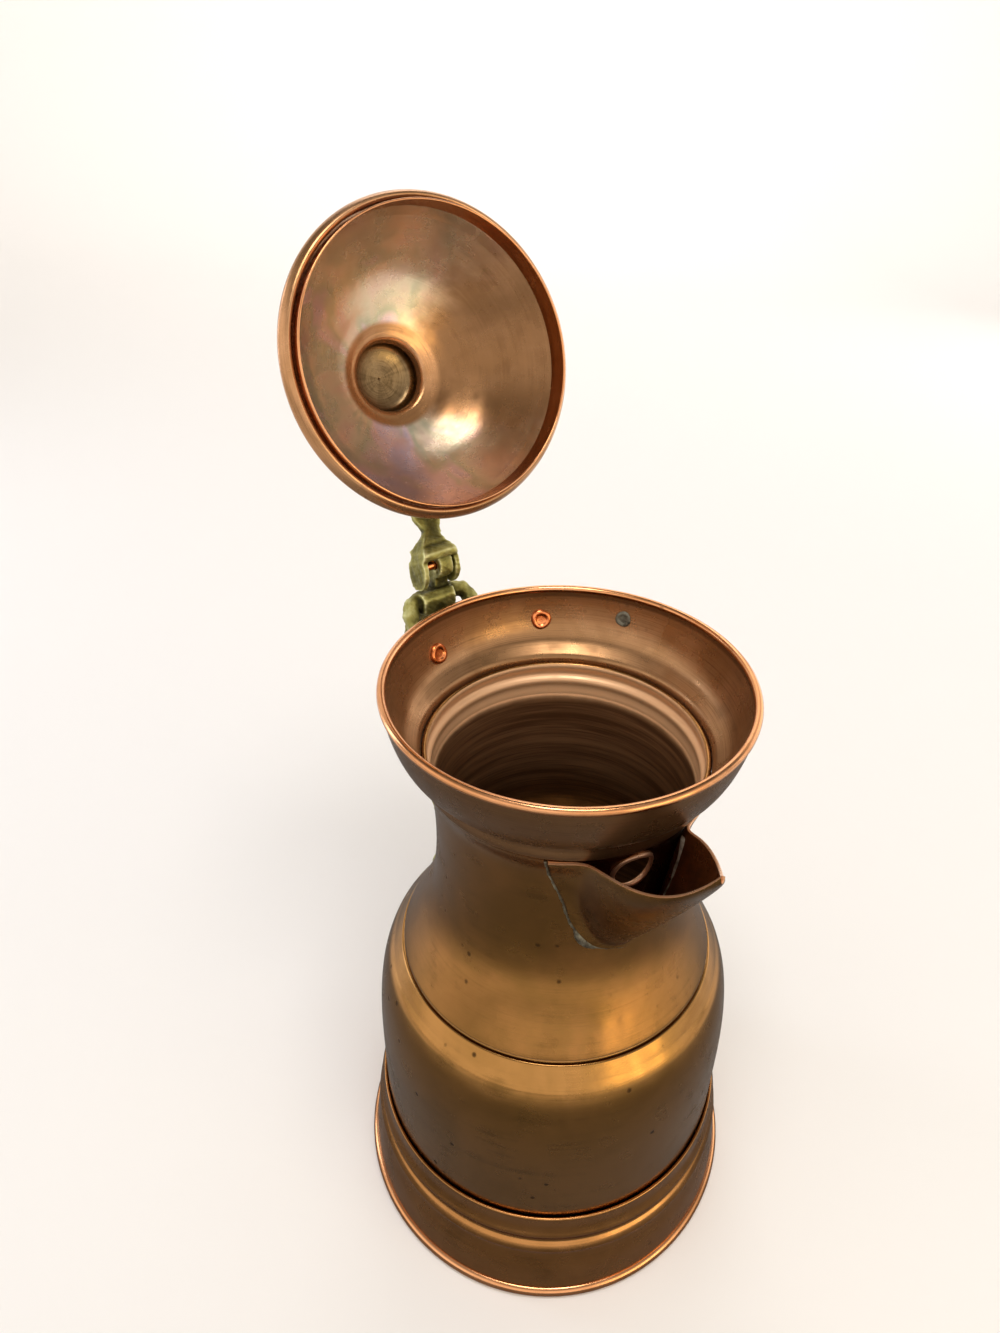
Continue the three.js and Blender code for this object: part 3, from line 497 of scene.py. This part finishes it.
# Neck shell
# Copper sheet raised to a waist, which sweeps up from the lap seam and flares again into the
# collar's lap ring. A round hole in its side lets the water into the spout.
def cut(made, cutter_mesh, profile):
    """Takes a closed cutter away from a turned piece and keeps the result as the piece's mesh.

    The attribute spun of each point is worked out again: the cosine and sine of its own angle,
    and the way of the profile's nearest row."""
    cutter = bpy.data.objects.new("cutter", cutter_mesh)
    bpy.context.scene.collection.objects.link(cutter)
    modifier = made.modifiers.new("cut", "BOOLEAN")
    modifier.operation = "DIFFERENCE"
    modifier.solver = "EXACT"
    modifier.object = cutter
    result = bpy.data.meshes.new_from_object(made.evaluated_get(bpy.context.evaluated_depsgraph_get()))
    made.modifiers.remove(modifier)
    made.data = result
    bpy.data.objects.remove(cutter)
    points = np.empty(len(result.vertices) * 3)
    result.vertices.foreach_get("co", points)
    x, y, z = points.reshape(-1, 3).T * 1000
    radius = np.hypot(x, y)
    way = np.concatenate([[0], np.cumsum(np.linalg.norm(np.diff(profile, axis=0), axis=1))])
    gap = (radius[:, None] - profile[:, 0]) ** 2 + (z[:, None] - profile[:, 1]) ** 2
    spun = np.column_stack([x / radius, y / radius, way[gap.argmin(axis=1)]])
    result.attributes["spun"].data.foreach_set("vector", spun.ravel())


def round_bar(radius, start, stop, sides=48):
    """Mesh of a plain bar between two points in mm: a circle round each end, joined by faces."""
    start, stop = np.array(start, float), np.array(stop, float)
    along = (stop - start) / np.linalg.norm(stop - start)
    side = np.cross(along, [0, 0, 1])
    side = side / np.linalg.norm(side)
    angle = np.linspace(0, 2 * np.pi, sides, endpoint=False)[:, None]
    ring = radius * (np.cos(angle) * side + np.sin(angle) * np.cross(along, side))
    points = np.vstack([start + ring, stop + ring]) / 1000
    faces = [[i, (i + 1) % sides, (i + 1) % sides + sides, i + sides] for i in range(sides)]
    faces += [list(range(sides))[::-1], list(range(sides, 2 * sides))]
    mesh = bpy.data.meshes.new("cutter")
    mesh.from_pydata(points.tolist(), [], faces)
    return mesh


neck_points = [
    (67.2, 127.0),
    (57.4, 148.0),
    (53.5, 165.0),
    (52.8, 186.0),
    (54.6, 208.0),
    (57.6, 218.0),
    (58.5, 221.0),
    (58.5, 225.0),
]
neck_line = spline(neck_points, 16)
# The mouth's edge is rolled into a bead, and a raised ring runs round the throat below it.
mouth_bead = [
    (58.55, 222.5),
    (58.6, 224.8),
    (58.3, 225.9),
    (57.5, 226.4),
    (56.6, 226.1),
    (56.1, 225.2),
    (56.2, 224.1),
    (56.8, 222.8),
    (57.1, 221.6),
]
throat_ring = [
    (57.1, 221.4),
    (57.0, 220.6),
    (56.4, 219.8),
    (55.5, 219.2),
    (54.8, 218.3),
    (54.7, 217.2),
    (55.0, 216.2),
    (55.1, 215.2),
    (54.9, 214.0),
    (54.5, 212.6),
    (54.3, 211.4),
]
bead_foot, ring_foot = 221.5, 211
neck_sheet = sheet(neck_line, sheet_thickness)
outer_rows = np.count_nonzero(neck_line[:, 1] < bead_foot)
inner = neck_sheet[neck_sheet[:, 1] < bead_foot][outer_rows:]
inner = inner[inner[:, 1] < ring_foot]
neck_sheet = np.vstack([neck_sheet[:outer_rows], spline(mouth_bead, 4), spline(throat_ring, 3), inner])
# Old copper like the body's. Inside, a pale band, a painted highlight for the light on the mouth's flare,
# ends in brown oxide, dull in the throat.
neck_colours = ("#a0703e", "#8c6434", "#5a401e")
neck_copper = spun_copper("neck copper", *neck_colours, 0.4, 0.2, 0.8, 0.7, 0.9, inside=(104, 121))
neck_shell = lathe("fine_neck_shell", neck_sheet, "jug", 240)
spout_turn = np.radians(-13.0)
spout_way = np.array([np.cos(spout_turn), np.sin(spout_turn), 0.0])
hole_radius, hole_height = 8.5, 208.0
hole_centre = np.array([0, 0, hole_height])
hole_bar = round_bar(hole_radius, hole_centre + 35 * spout_way, hole_centre + 75 * spout_way)
cut(neck_shell, hole_bar, neck_sheet)
finish_piece(neck_shell, neck_copper, "copper", "neck_shell")


# Collar
# A shallow copper bowl above a narrow lap ring, which sleeves over the neck's top. It is spun
# bright inside, with smudges where hands and the lid rub, and duller outside, where painted shade also
# darkens its underside.
collar_points = [
    (60.9, 228.4),
    (66.4, 233.2),
    (69.9, 239.5),
    (72.6, 248.0),
    (73.7, 254.9),
]
lap_ring = [(60.0, 222.0), (60.0, 223.5), (59.95, 225.0), (59.9, 226.6), (60.2, 227.6)]
collar_line = np.vstack([lap_ring, spline(collar_points, 12)])
# Spun copper with clear turning lines, which break its soft highlights into fine streaks.
collar_colours = ("#a87e58", "#966e48", "#5e4228")
# outside=41 paints shade on the bowl's underside as well as duller tarnish.
collar_copper = spun_copper(
    "collar copper", *collar_colours, 0.4, 0.28, 2.8, 0.25, 1.3, outside=41, metal=0.85
)
collar = lathe("fine_collar", sheet(collar_line, sheet_thickness), "jug", 240)
finish_piece(collar, collar_copper, "copper", "collar")


# Rim wire
# The collar's rim is rolled over a copper wire, which keeps it round. The roll shines from
# handling, as the foot's does.
rim_wire = wire("fine_rim_wire", 75.0, 1.7, 256.0, "jug", 288)
finish_piece(rim_wire, edge_copper, "worn_copper", "rim_wire")


# Spout
# One folded copper sheet: an open trough that rises to a sharp beak, with side flaps that are
# soldered to the neck. Its cut edges are thin and bright.
def near_wall(y, z, lift):
    """Point beside the neck at side y and height z in the spout's frame, lifted off its wall.

    Its place forward is the root of (the wall's radius at z, plus the lift) squared less y squared."""
    radius = np.interp(z, neck_line[:, 1], neck_line[:, 0]) + lift
    return np.stack([np.sqrt(np.maximum(radius**2 - y**2, 1)), y, z], -1)


spout_root, spout_reach = 54, 50
spout_half_width = 21.3


def trough(t, angle):
    """Point of the trough's middle surface: t runs from neck to tip, angle from lip to lip.

    Each cross section is half an ellipse, hung from the lip and as deep as the keel. The lip
    rises fast at the neck and again at the tip, the keel nearly straight, and the width closes
    with t to the power 2.5."""
    s = np.clip(t, 0, 1)
    lip = 218.8 + 10 * (1 - (1 - s) ** 3) + 22 * s**5
    keel = 169.5 + 77.5 * s - 10 * s * (1 - s)
    half = np.maximum(spout_half_width * (1 - s**2.5) - sheet_thickness / 2, 0.35)
    z = lip - np.maximum(lip - keel - sheet_thickness, 1.6) * np.cos(angle)
    return np.stack([spout_root + spout_reach * t, half * np.sin(angle), z], -1)


def turned_to_spout(points):
    """Turns points made along +X about Z to the spout's direction."""
    c, s = np.cos(spout_turn), np.sin(spout_turn)
    x, y, z = np.moveaxis(np.asarray(points), -1, 0)
    return np.stack([c * x - s * y, s * x + c * y, z], -1)


# The root of the trough is where it meets the neck, found by halving t for each column.
columns = 73
across = np.linspace(-0.5, 0.5, columns) * np.pi
low, high = np.full(columns, -0.25), np.full(columns, 0.5)
for _ in range(30):
    middle = (low + high) / 2
    x, y, z = np.moveaxis(trough(middle, across), -1, 0)
    outside = np.hypot(x, y) > np.interp(z, neck_line[:, 1], neck_line[:, 0]) + 1.6
    low, high = np.where(outside, low, middle), np.where(outside, middle, high)
root_t = (low + high) / 2
root = trough(root_t, across)
flange_points = [(0, 167.8), (12.4, 172.4), (20.6, 184), (24.6, 197), (29.6, 210), (32.4, 219)]
flange_half = spline(flange_points, 10)
flange_way = np.concatenate([[0], np.cumsum(np.linalg.norm(np.diff(flange_half, axis=0), axis=1))])
share = np.abs(across) / (np.pi / 2) * flange_way[-1]
flange_y = np.sign(across) * np.interp(share, flange_way, flange_half[:, 0])
flange_z = np.interp(share, flange_way, flange_half[:, 1])
tip_t = 0.985
rows = []
for s in np.linspace(0, 1, 9):
    y = flange_y + (root[:, 1] - flange_y) * s
    z = flange_z + (root[:, 2] - flange_z) * s
    rows.append(near_wall(y, z, 0.9))
for s in np.linspace(0, 1, 42)[1:]:
    rows.append(trough(root_t + (tip_t - root_t) * s, across))
grid = np.array(rows)
for _ in range(14):
    grid[4:17] = (grid[3:16] + 2 * grid[4:17] + grid[5:18]) / 4
count = len(rows)
i, j = np.meshgrid(np.arange(count - 1), np.arange(columns - 1), indexing="ij")
first = i * columns + j
quads = np.stack([first, first + 1, first + columns + 1, first + columns], -1)
points = turned_to_spout(grid).reshape(-1, 3)
spout = mesh_object("fine_spout", points, quads.reshape(-1, 4).tolist(), "jug")
uv = spout.data.uv_layers.new(name="around")
corner = np.stack([quads // columns / count, quads % columns / columns], -1)
uv.data.foreach_set("uv", corner.ravel())
spun = np.stack(
    [
        np.broadcast_to(across / 2, (count, columns)),
        np.broadcast_to(np.arange(count)[:, None] * 0.06, (count, columns)),
        np.broadcast_to(across * 12, (count, columns)),
    ],
    -1,
)
spout.data.attributes.new("spun", "FLOAT_VECTOR", "POINT").data.foreach_set("vector", spun.ravel())
thick = spout.modifiers.new("thickness", "SOLIDIFY")
thick.thickness = sheet_thickness / 1000
thick.offset = 0.0
thick.material_offset = 1
thick.material_offset_rim = 2
round_edges = spout.modifiers.new("worn edges", "BEVEL")
round_edges.width = 0.00035
round_edges.segments = 2
round_edges.limit_method = "ANGLE"
round_edges.angle_limit = np.radians(60)
# Folded copper: brown outside, red brown and dull inside, with pale filed edges.
outer_colours = ("#946a38", "#785328", "#463216")
lining_colours = ("#824621", "#623116", "#361b0c")
cut_colours = ("#e0b08a", "#cf9a70", "#8a6040")
spout_copper = spun_copper("spout copper", *outer_colours, 0.5, 0.24, 0.5, 0.4, 1.7, 0.2)
spout_lining = spun_copper("spout lining", *lining_colours, 0.6, 0.3, 0.5, 0.4, 2.9, 0.1, metal=0.5)
cut_copper = spun_copper("cut edge copper", *cut_colours, 0.2, 0.3, 0.2, 0.1, 3.7, 0.0, metal=0.7)
spout.data.materials.append(spout_copper)
spout.data.materials.append(spout_lining)
spout.data.materials.append(cut_copper)
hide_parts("spout")


# Spout solder
# A grey bead of soft solder seals the flaps to the neck, lumpy, with one fat drop low on the
# near side.
def dull_solder(name, dark, light, metal):
    """Soft solder: clouded from dark to light, with uneven gloss and pits about 4 mm apart."""
    material, tree, shader = new_material(name)
    here = node(tree, "TexCoord").outputs["Object"]
    cloud = node(tree, "TexNoise", {"Vector": here, "Scale": 260.0, "Detail": 5.0, "Roughness": 0.65})
    tone = node(tree, "ValToRGB", {"Fac": cloud.outputs[0]})
    tone.color_ramp.elements[0].position = 0.35
    tone.color_ramp.elements[0].color = linear(dark)
    tone.color_ramp.elements[1].position = 0.62
    tone.color_ramp.elements[1].color = linear(light)
    tree.links.new(tone.outputs[0], shader.inputs["Base Color"])
    shader.inputs["Metallic"].default_value = metal
    links = {"Value": cloud.outputs[0], "From Min": 0.3, "From Max": 0.7, "To Min": 0.38, "To Max": 0.62}
    tree.links.new(node(tree, "MapRange", links).outputs[0], shader.inputs["Roughness"])
    bump = node(tree, "Bump", {"Height": cloud.outputs[0], "Strength": 0.8, "Distance": 0.0004})
    tree.links.new(bump.outputs[0], shader.inputs["Normal"])
    return material


def tube(name, path, out, across_way, half_width, height, body, sides=12):
    """A bead along a path: each ring is half an ellipse above it, and nearly flat below it.

    out and across_way are the ellipse's unit directions, height and half_width its half axes."""
    angle = np.linspace(0, 2 * np.pi, sides, endpoint=False)
    ring_w, ring_h = np.cos(angle), np.maximum(np.sin(angle), -0.25)
    points = (
        path[:, None]
        + across_way[:, None] * (half_width[:, None] * ring_w)[..., None]
        + out[:, None] * (height[:, None] * ring_h)[..., None]
    )
    count = len(path)
    i, j = np.meshgrid(np.arange(count - 1) * sides, np.arange(sides), indexing="ij")
    k = (j + 1) % sides
    faces = np.stack([i + j, i + k, i + sides + k, i + sides + j], -1).reshape(-1, 4).tolist()
    faces.append(list(range(sides))[::-1])
    faces.append(list(range((count - 1) * sides, count * sides)))
    return mesh_object(name, points.reshape(-1, 3), faces, body)


bead = np.vstack([(flange_half * [-1, 1])[::-1][:-1], flange_half])
bead_way = np.concatenate([[0], np.cumsum(np.linalg.norm(np.diff(bead, axis=0), axis=1))])
stops = np.linspace(0, bead_way[-1], 160)
bead = np.column_stack([np.interp(stops, bead_way, bead[:, k]) for k in (0, 1)])
bead_side = np.gradient(bead, axis=0)
bead_side = bead_side / np.linalg.norm(bead_side, axis=1, keepdims=True)
bead_side = np.column_stack([bead_side[:, 1], -bead_side[:, 0]])
lumps = 0.35 * np.sin(stops * 0.9) + 0.25 * np.sin(stops * 2.3 + 1) + 0.2 * np.sin(stops * 4.1 + 2)
drop_place, drop_width = 47, 5
drop = np.exp(-(((stops - drop_place) / drop_width) ** 2))
width = 0.55 + 0.2 * lumps + 1.5 * drop
bead = bead + bead_side * (0.5 + 0.2 * lumps + 0.9 * drop)[:, None]
bead_path = near_wall(bead[:, 0], bead[:, 1], 0.25)
bead_out = bead_path * [1, 1, 0]
bead_out = bead_out / np.linalg.norm(bead_out, axis=1, keepdims=True)
bead_along = np.gradient(bead_path, axis=0)
bead_along = bead_along / np.linalg.norm(bead_along, axis=1, keepdims=True)
bead_across = np.cross(bead_out, bead_along)
height = 0.6 + 0.12 * lumps + 0.4 * drop
solder = tube(
    "fine_spout_solder",
    turned_to_spout(bead_path),
    turned_to_spout(bead_out),
    turned_to_spout(bead_across),
    width,
    height,
    "jug",
)
# Tin and lead gone dark: thin and almost black, and greyer on the drop.
solder_metal = dull_solder("oxidised soft solder", "#2c2116", "#7d7868", 0.8)
finish_piece(solder, solder_metal, "solder", "spout_solder")


# Spout seam and hole burr
# Inside the trough a pale soldered seam runs down the far wall, and the pour hole has a thick
# bright lip where its edge was turned out.
seam_stops = 24
# Newer solder, pale and almost matt, which shows against the brown lining.
seam_metal = dull_solder("bright soft solder", "#8a7a68", "#d8cbb8", 0.3)
seam_path = trough(np.full(seam_stops, 0.05), np.radians(np.linspace(86, 6, seam_stops)))
seam_in = seam_path * [0, -1, 0] + [0, 0, 1] * (225 - seam_path[:, 2:])
seam_in = seam_in / np.linalg.norm(seam_in, axis=1, keepdims=True)
seam_path = seam_path + 0.5 * seam_in
seam_side = np.tile([1.0, 0, 0], (seam_stops, 1))
seam = tube(
    "fine_spout_seam",
    turned_to_spout(seam_path),
    turned_to_spout(seam_in),
    turned_to_spout(seam_side),
    1.1 + 0.25 * np.sin(np.arange(seam_stops) * 1.3),
    np.full(seam_stops, 0.5),
    "jug",
)
seam.data.materials.append(seam_metal)
burr_stops, burr_radius = 61, hole_radius - 0.2
burr_angle = np.linspace(0, 2 * np.pi, burr_stops)
burr_height = hole_height + burr_radius * np.cos(burr_angle)
burr_path = near_wall(burr_radius * np.sin(burr_angle), burr_height, 0.1)
burr_side = np.column_stack([0 * burr_angle, np.sin(burr_angle), np.cos(burr_angle)])
burr = tube(
    "fine_hole_burr",
    turned_to_spout(burr_path),
    turned_to_spout(np.tile([1.0, 0, 0], (burr_stops, 1))),
    turned_to_spout(burr_side),
    np.full(burr_stops, 1.0),
    1.1 + 0.2 * np.sin(3 * burr_angle),
    "jug",
)
burr.data.materials.append(cut_copper)


# Collar rivets and hole plug
# Two copper rivets hold the handle's band. Their heads inside the bowl are round and dished by
# the punch. A third, older hole is plugged with solder.
def seated(points, line, height, angle):
    """Points made along +X from a wall's outer face, set on the wall at a height and an angle.

    They are tilted about Y by the wall's lean, moved out by its radius and turned about Z."""
    k = np.searchsorted(line[:, 1], height)
    (r0, z0), (r1, z1) = line[k - 1], line[k]
    slope = (r1 - r0) / (z1 - z0)
    lean = np.arctan(slope)
    x, y, z = np.moveaxis(points, -1, 0)
    x, z = x * np.cos(lean) + z * np.sin(lean), -x * np.sin(lean) + z * np.cos(lean)
    x = x + r0 + slope * (height - z0)
    c, s = np.cos(angle), np.sin(angle)
    return np.stack([c * x - s * y, s * x + c * y, z + height], -1)


def rivet(name, profile, line, height, angle, body):
    """A rivet turned about its own axis from (radius, way outwards) rows, then set in the wall."""

    def set_in(points):
        wobble = 1 + 0.035 * np.sin(3 * np.arctan2(points[:, 1], points[:, 0]) + angle * 5)
        moved = np.stack([points[:, 2], points[:, 1] * wobble, -points[:, 0] * wobble], -1)
        return seated(moved, line, height, angle)

    return lathe(name, profile, body, 48, set_in)


def rivet_profile(head, head_height, shank, outside, end):
    """Dished head inside the wall, shank through it, and a low hammered end outside.

    The rows are (radius, way outwards) in mm, with the head's and the end's arcs as splines."""
    face = -1.5
    points = [
        (0.0, face - head_height * 0.55),
        (head * 0.42, face - head_height * 0.6),
        (head * 0.6, face - head_height * 0.98),
        (head * 0.82, face - head_height),
        (head * 0.97, face - head_height * 0.6),
        (head, face - 0.1),
        (head * 0.9, face + 0.25),
        (shank, face + 0.3),
        (shank, outside),
        (end, outside + 0.05),
        (end * 0.92, outside + head_height * 0.5),
        (end * 0.55, outside + head_height * 0.85),
        (0.0, outside + head_height),
    ]
    return np.vstack([spline(points[:6], 4), points[6:9], spline(points[9:], 4)])


# New copper, redder and brighter than the sheet it holds.
rivet_colours = ("#e8915e", "#d37a44", "#6b3d1e")
rivet_copper = spun_copper("rivet copper", *rivet_colours, 0.3, 0.24, 0.3, 0.4, 2.1, 0.0)
for side, (angle, height) in {"left": (194.9, 239.8), "right": (150.0, 241.8)}.items():
    profile = rivet_profile(4.6, 1.3, 2.0, 3.6, 3.6)
    made = rivet("fine_collar_rivet_" + side, profile, collar_line, height, np.radians(angle), "jug")
    finish_piece(made, rivet_copper, "worn_copper", "collar_rivet_" + side)
plug_points = rivet_profile(3.6, 0.5, 2.6, 0.3, 3.4)
plug = rivet("fine_hole_plug", plug_points, collar_line, 245.2, np.radians(118.8), "jug")
finish_piece(plug, solder_metal, "solder", "hole_plug")


# Leaf rivets
# Three smaller copper rivets fasten the handle's leaf to the body below the shoulder. Their
# hammered ends show outside, on the leaf.
for name, (side, height) in {"left": (-10, 106), "right": (10, 106), "bottom": (0, 97)}.items():
    radius = np.interp(height, body_line[:, 1], body_line[:, 0])
    turn = np.pi + np.arcsin(-side / radius)
    profile = rivet_profile(3.5, 1.3, 2.0, 3.6, 3.3)
    made = rivet("fine_leaf_rivet_" + name, profile, body_line, height, turn, "jug")
    finish_piece(made, rivet_copper, "worn_copper", "leaf_rivet_" + name)


# Handle
# Hinge knuckle, crosspiece, band, grip and leaf are one sand casting in brass, rough from the
# mould, olive with patina, and paler on its worn edges.
def cast_copy(name, source, voxel, passes, body, grain=0.25):
    """A cast skin over a CAD node: voxel remesh, smoothing and low lumps along the normals.

    The lumps are sums of sines of the place in mm, so they are the same on each run. The point
    attribute ridge is how far the skin stands out of its own smoothed copy, in mm."""
    made = bpy.data.objects.new(name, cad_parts[source].data.copy())
    bpy.context.scene.collection.objects.link(made)
    made.data.materials.clear()
    remesh = made.modifiers.new("remesh", "REMESH")
    remesh.mode = "VOXEL"
    remesh.voxel_size = voxel / 1000
    remesh.use_smooth_shade = True
    smooth = made.modifiers.new("smooth", "SMOOTH")
    smooth.factor = 0.5
    smooth.iterations = passes
    made.data = bpy.data.meshes.new_from_object(made.evaluated_get(bpy.context.evaluated_depsgraph_get()))
    made.modifiers.clear()
    count = len(made.data.vertices)
    points, normals = np.empty(count * 3), np.empty(count * 3)
    made.data.vertices.foreach_get("co", points)
    made.data.vertex_normals.foreach_get("vector", normals)
    points, normals = points.reshape(-1, 3) * 1000, normals.reshape(-1, 3)
    x, y, z = points.T
    lump = np.sin(0.9 * x + 1.3 * np.sin(0.7 * y)) * np.sin(0.8 * z + np.sin(0.6 * x))
    lump = lump + 0.5 * np.sin(2.1 * y + 1.7 * z) * np.sin(1.9 * x - 0.8 * z)
    edges = np.empty(len(made.data.edges) * 2, int)
    made.data.edges.foreach_get("vertices", edges)
    near, far = np.concatenate([edges[::2], edges[1::2]]), np.concatenate([edges[1::2], edges[::2]])
    shares = np.bincount(near, minlength=count)
    softened = points
    for _ in range(14):
        sums = [np.bincount(near, weights=softened[far, k], minlength=count) for k in range(3)]
        softened = np.column_stack(sums) / shares[:, None]
    ridge = np.sum((points - softened) * normals, axis=1)
    made.data.attributes.new("ridge", "FLOAT", "POINT").data.foreach_set("value", ridge)
    points = points + normals * (grain * (lump - 0.8))[:, None]
    made.data.vertices.foreach_set("co", (points / 1000).ravel())
    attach(made, body)
    return made


def cast_brass(name, seed=0.0):
    """Sand-cast brass: dark olive in hollows, pale and smoother on ridges, grainy all over.

    The clouds of patina are about 9 mm across and the grit of the mould about 1 mm."""
    material, tree, shader = new_material(name)
    here = node(tree, "TexCoord").outputs["Object"]
    here = node(tree, "VectorMath", {0: here, 1: (seed, 0.0, seed)}, operation="ADD").outputs[0]
    cloud = node(tree, "TexNoise", {"Vector": here, "Scale": 110.0, "Detail": 6.0, "Roughness": 0.65})
    grit = node(tree, "TexNoise", {"Vector": here, "Scale": 900.0, "Detail": 4.0, "Roughness": 0.7})
    ridge = node(tree, "Attribute", attribute_name="ridge").outputs["Fac"]
    ridge = node(tree, "MapRange", {"Value": ridge, "From Min": -0.15, "From Max": 0.45}).outputs[0]
    worn = node(tree, "Math", {0: cloud.outputs[0], 1: 0.55}, operation="MULTIPLY").outputs[0]
    ridge = node(tree, "Math", {0: ridge, 1: 0.5}, operation="MULTIPLY").outputs[0]
    worn = node(tree, "Math", {0: worn, 1: ridge}, operation="ADD").outputs[0]
    tone = node(tree, "ValToRGB", {"Fac": worn})
    stops = [(0.22, "#2e2a12"), (0.42, "#6b6430"), (0.58, "#9a9250"), (0.78, "#cfca92")]
    for element, (position, colour) in zip(tone.color_ramp.elements, (stops[0], stops[-1])):
        element.position = position
        element.color = linear(colour)
    for position, colour in stops[1:-1]:
        tone.color_ramp.elements.new(position).color = linear(colour)
    tree.links.new(tone.outputs[0], shader.inputs["Base Color"])
    shader.inputs["Metallic"].default_value = 0.85
    links = {"Value": worn, "From Min": 0.2, "From Max": 0.8, "To Min": 0.6, "To Max": 0.34}
    tree.links.new(node(tree, "MapRange", links).outputs[0], shader.inputs["Roughness"])
    height = node(tree, "Math", {0: cloud.outputs[0], 1: 1.6}, operation="MULTIPLY").outputs[0]
    height = node(tree, "Math", {0: height, 1: grit.outputs[0]}, operation="ADD").outputs[0]
    bump = node(tree, "Bump", {"Height": height, "Strength": 0.7, "Distance": 0.0006})
    tree.links.new(bump.outputs[0], shader.inputs["Normal"])
    return material


handle_brass = cast_brass("sand-cast brass of the handle")
handle = cast_copy("fine_handle", "handle", 0.55, 14, "jug")
finish_piece(handle, handle_brass, "cast_brass", "handle")


# Hinge pin
# A short copper bar through the handle's knuckle, on which the lid's fork turns. Its ends are
# closed in by the fork's ears.
hinge_x, hinge_side, hinge_height = -88.7, -4.5, 270.5


def across_hinge(points):
    """Swaps the y and z of points turned about Z, and moves them so that their axis is the pin's."""
    x, y, z = points.T
    return np.stack([x + hinge_x, z + hinge_side, y + hinge_height], -1)


end, radius, bevel = 8.2, 2.0, 0.4
pin_points = [(0, -end), (radius - bevel, -end), (radius, bevel - end)]
pin_points += [(radius, end - bevel), (radius - bevel, end), (0, end)]
pin = lathe("fine_hinge_pin", pin_points, "jug", 48, across_hinge)
finish_piece(pin, rivet_copper, "worn_copper", "hinge_pin")


# Lid dome
# A thin spun dome of copper, a little out of true, with a rounded lip. Its turning lines show
# inside, where cleaning has left a thin film with pale tints, whose paleness is partly a painted
# reflection; the side toward +Y is painted darker as shade.
open_angle = np.radians(112.2)
dome_foot, dome_height, top_shift = 240.2, 39.8, 3.2


def opened(points):
    """Turns points of the level lid back about the pin by the open angle, to where it stands."""
    c, s = np.cos(open_angle), -np.sin(open_angle)
    x, y, z = np.moveaxis(np.asarray(points), -1, 0)
    x, z = x - hinge_x, z - hinge_height
    return np.stack([c * x + s * z + hinge_x, y, c * z - s * x + hinge_height], -1)


def leaning(points):
    """Shifts the dome's rings toward the hinge in proportion to their height, and opens it."""
    moved = np.array(points)
    moved[:, 0] -= top_shift / dome_height * (moved[:, 2] - dome_foot)
    return opened(moved)


dome_points = [
    (60.6, 247.2),
    (52.0, 257.7),
    (42.0, 267.6),
    (30.0, 274.9),
    (21.0, 278.7),
    (17.6, 279.9),
    (16.4, 281.3),
    (16.1, 283.2),
]
dome_edge = [
    (63.1, 238.0),
    (63.0, 236.9),
    (63.5, 235.9),
    (64.4, 235.4),
    (65.4, 235.8),
    (66.3, 236.8),
    (67.0, 238.1),
    (67.3, 239.3),
    (67.0, 240.6),
    (65.8, 241.5),
    (64.2, 242.2),
    (62.8, 243.4),
]
dome_line = np.vstack([spline(dome_edge, 5), spline(dome_points, 12)])
# Thin spun copper, paler than the body and filmed inside in pink, green and lilac greys. The film is partly
# a painted pale reflection, and the side toward +Y gets painted shade.
lid_thickness = 0.8
lid_colours = ("#b98a62", "#a1744a", "#6a4a2c")
lid_copper = spun_copper(
    "lid copper", *lid_colours, 0.42, 0.23, 2.4, 0.3, 2.6, 0.7, film_and_reflection=(92, 180), metal=0.85
)
lid_dome = lathe("fine_lid_dome", sheet(dome_line, lid_thickness), "lid", 240, leaning)
finish_piece(lid_dome, lid_copper, "copper", "lid_dome")


# Lid skirt
# A thin copper band soldered inside the lip, which guides the lid into the collar. Its free edge
# is rubbed bright by the bowl.
skirt_line = spline([(62.5, 232.7), (62.55, 235.5), (62.5, 238.5), (62.5, 241.2)], 6)
lid_skirt = lathe("fine_lid_skirt", sheet(skirt_line, 1.0), "lid", 240, opened)
finish_piece(lid_skirt, edge_copper, "worn_copper", "lid_skirt")


# Lid knob
# A small hollow copper cup with a waist, soldered over the dome's hole. Its inside shows as the
# round recess in the middle of the open lid.
def over_centre(points):
    """Moves the knob toward the hinge to the dome's shifted top, and opens it with the lid."""
    moved = np.array(points)
    moved[:, 0] -= top_shift
    return opened(moved)


knob_outer = [
    (19.0, 280.3),
    (18.6, 281.5),
    (17.6, 283.4),
    (16.8, 285.2),
    (16.6, 287.0),
    (14.0, 289.8),
    (6.0, 291.4),
    (0, 291.7),
]
knob_inner = [
    (0, 290.3),
    (8.0, 289.9),
    (13.4, 288.4),
    (15.3, 286.4),
    (15.8, 284.4),
    (16.6, 282.4),
    (16.6, 280.3),
]
knob_profile = np.vstack([spline(knob_outer, 6), spline(knob_inner, 6)])
# Grey brown copper, darker than the dome's, with deep turning lines.
knob_colours = ("#7e6647", "#624c30", "#382a17")
knob_copper = spun_copper("knob copper", *knob_colours, 0.6, 0.3, 2.4, 0.4, 3.1, 0.4)
knob = lathe("fine_lid_knob", knob_profile, "lid", 120, over_centre)
finish_piece(knob, knob_copper, "copper", "lid_knob")


# Lid finial and lid arm
# A cast brass button tops the knob, and a cast arm lies on the dome and forks round the handle's
# knuckle. Both are sand castings, rough from the mould, like the handle.
arm_brass = cast_brass("sand-cast brass of the lid arm", 0.4)
finial = cast_copy("fine_lid_finial", "lid_finial", 0.35, 5, "lid", 0.08)
finish_piece(finial, arm_brass, "cast_brass", "lid_finial")
arm = cast_copy("fine_lid_arm", "lid_arm", 0.5, 12, "lid", 0.2)
finish_piece(arm, arm_brass, "cast_brass", "lid_arm")
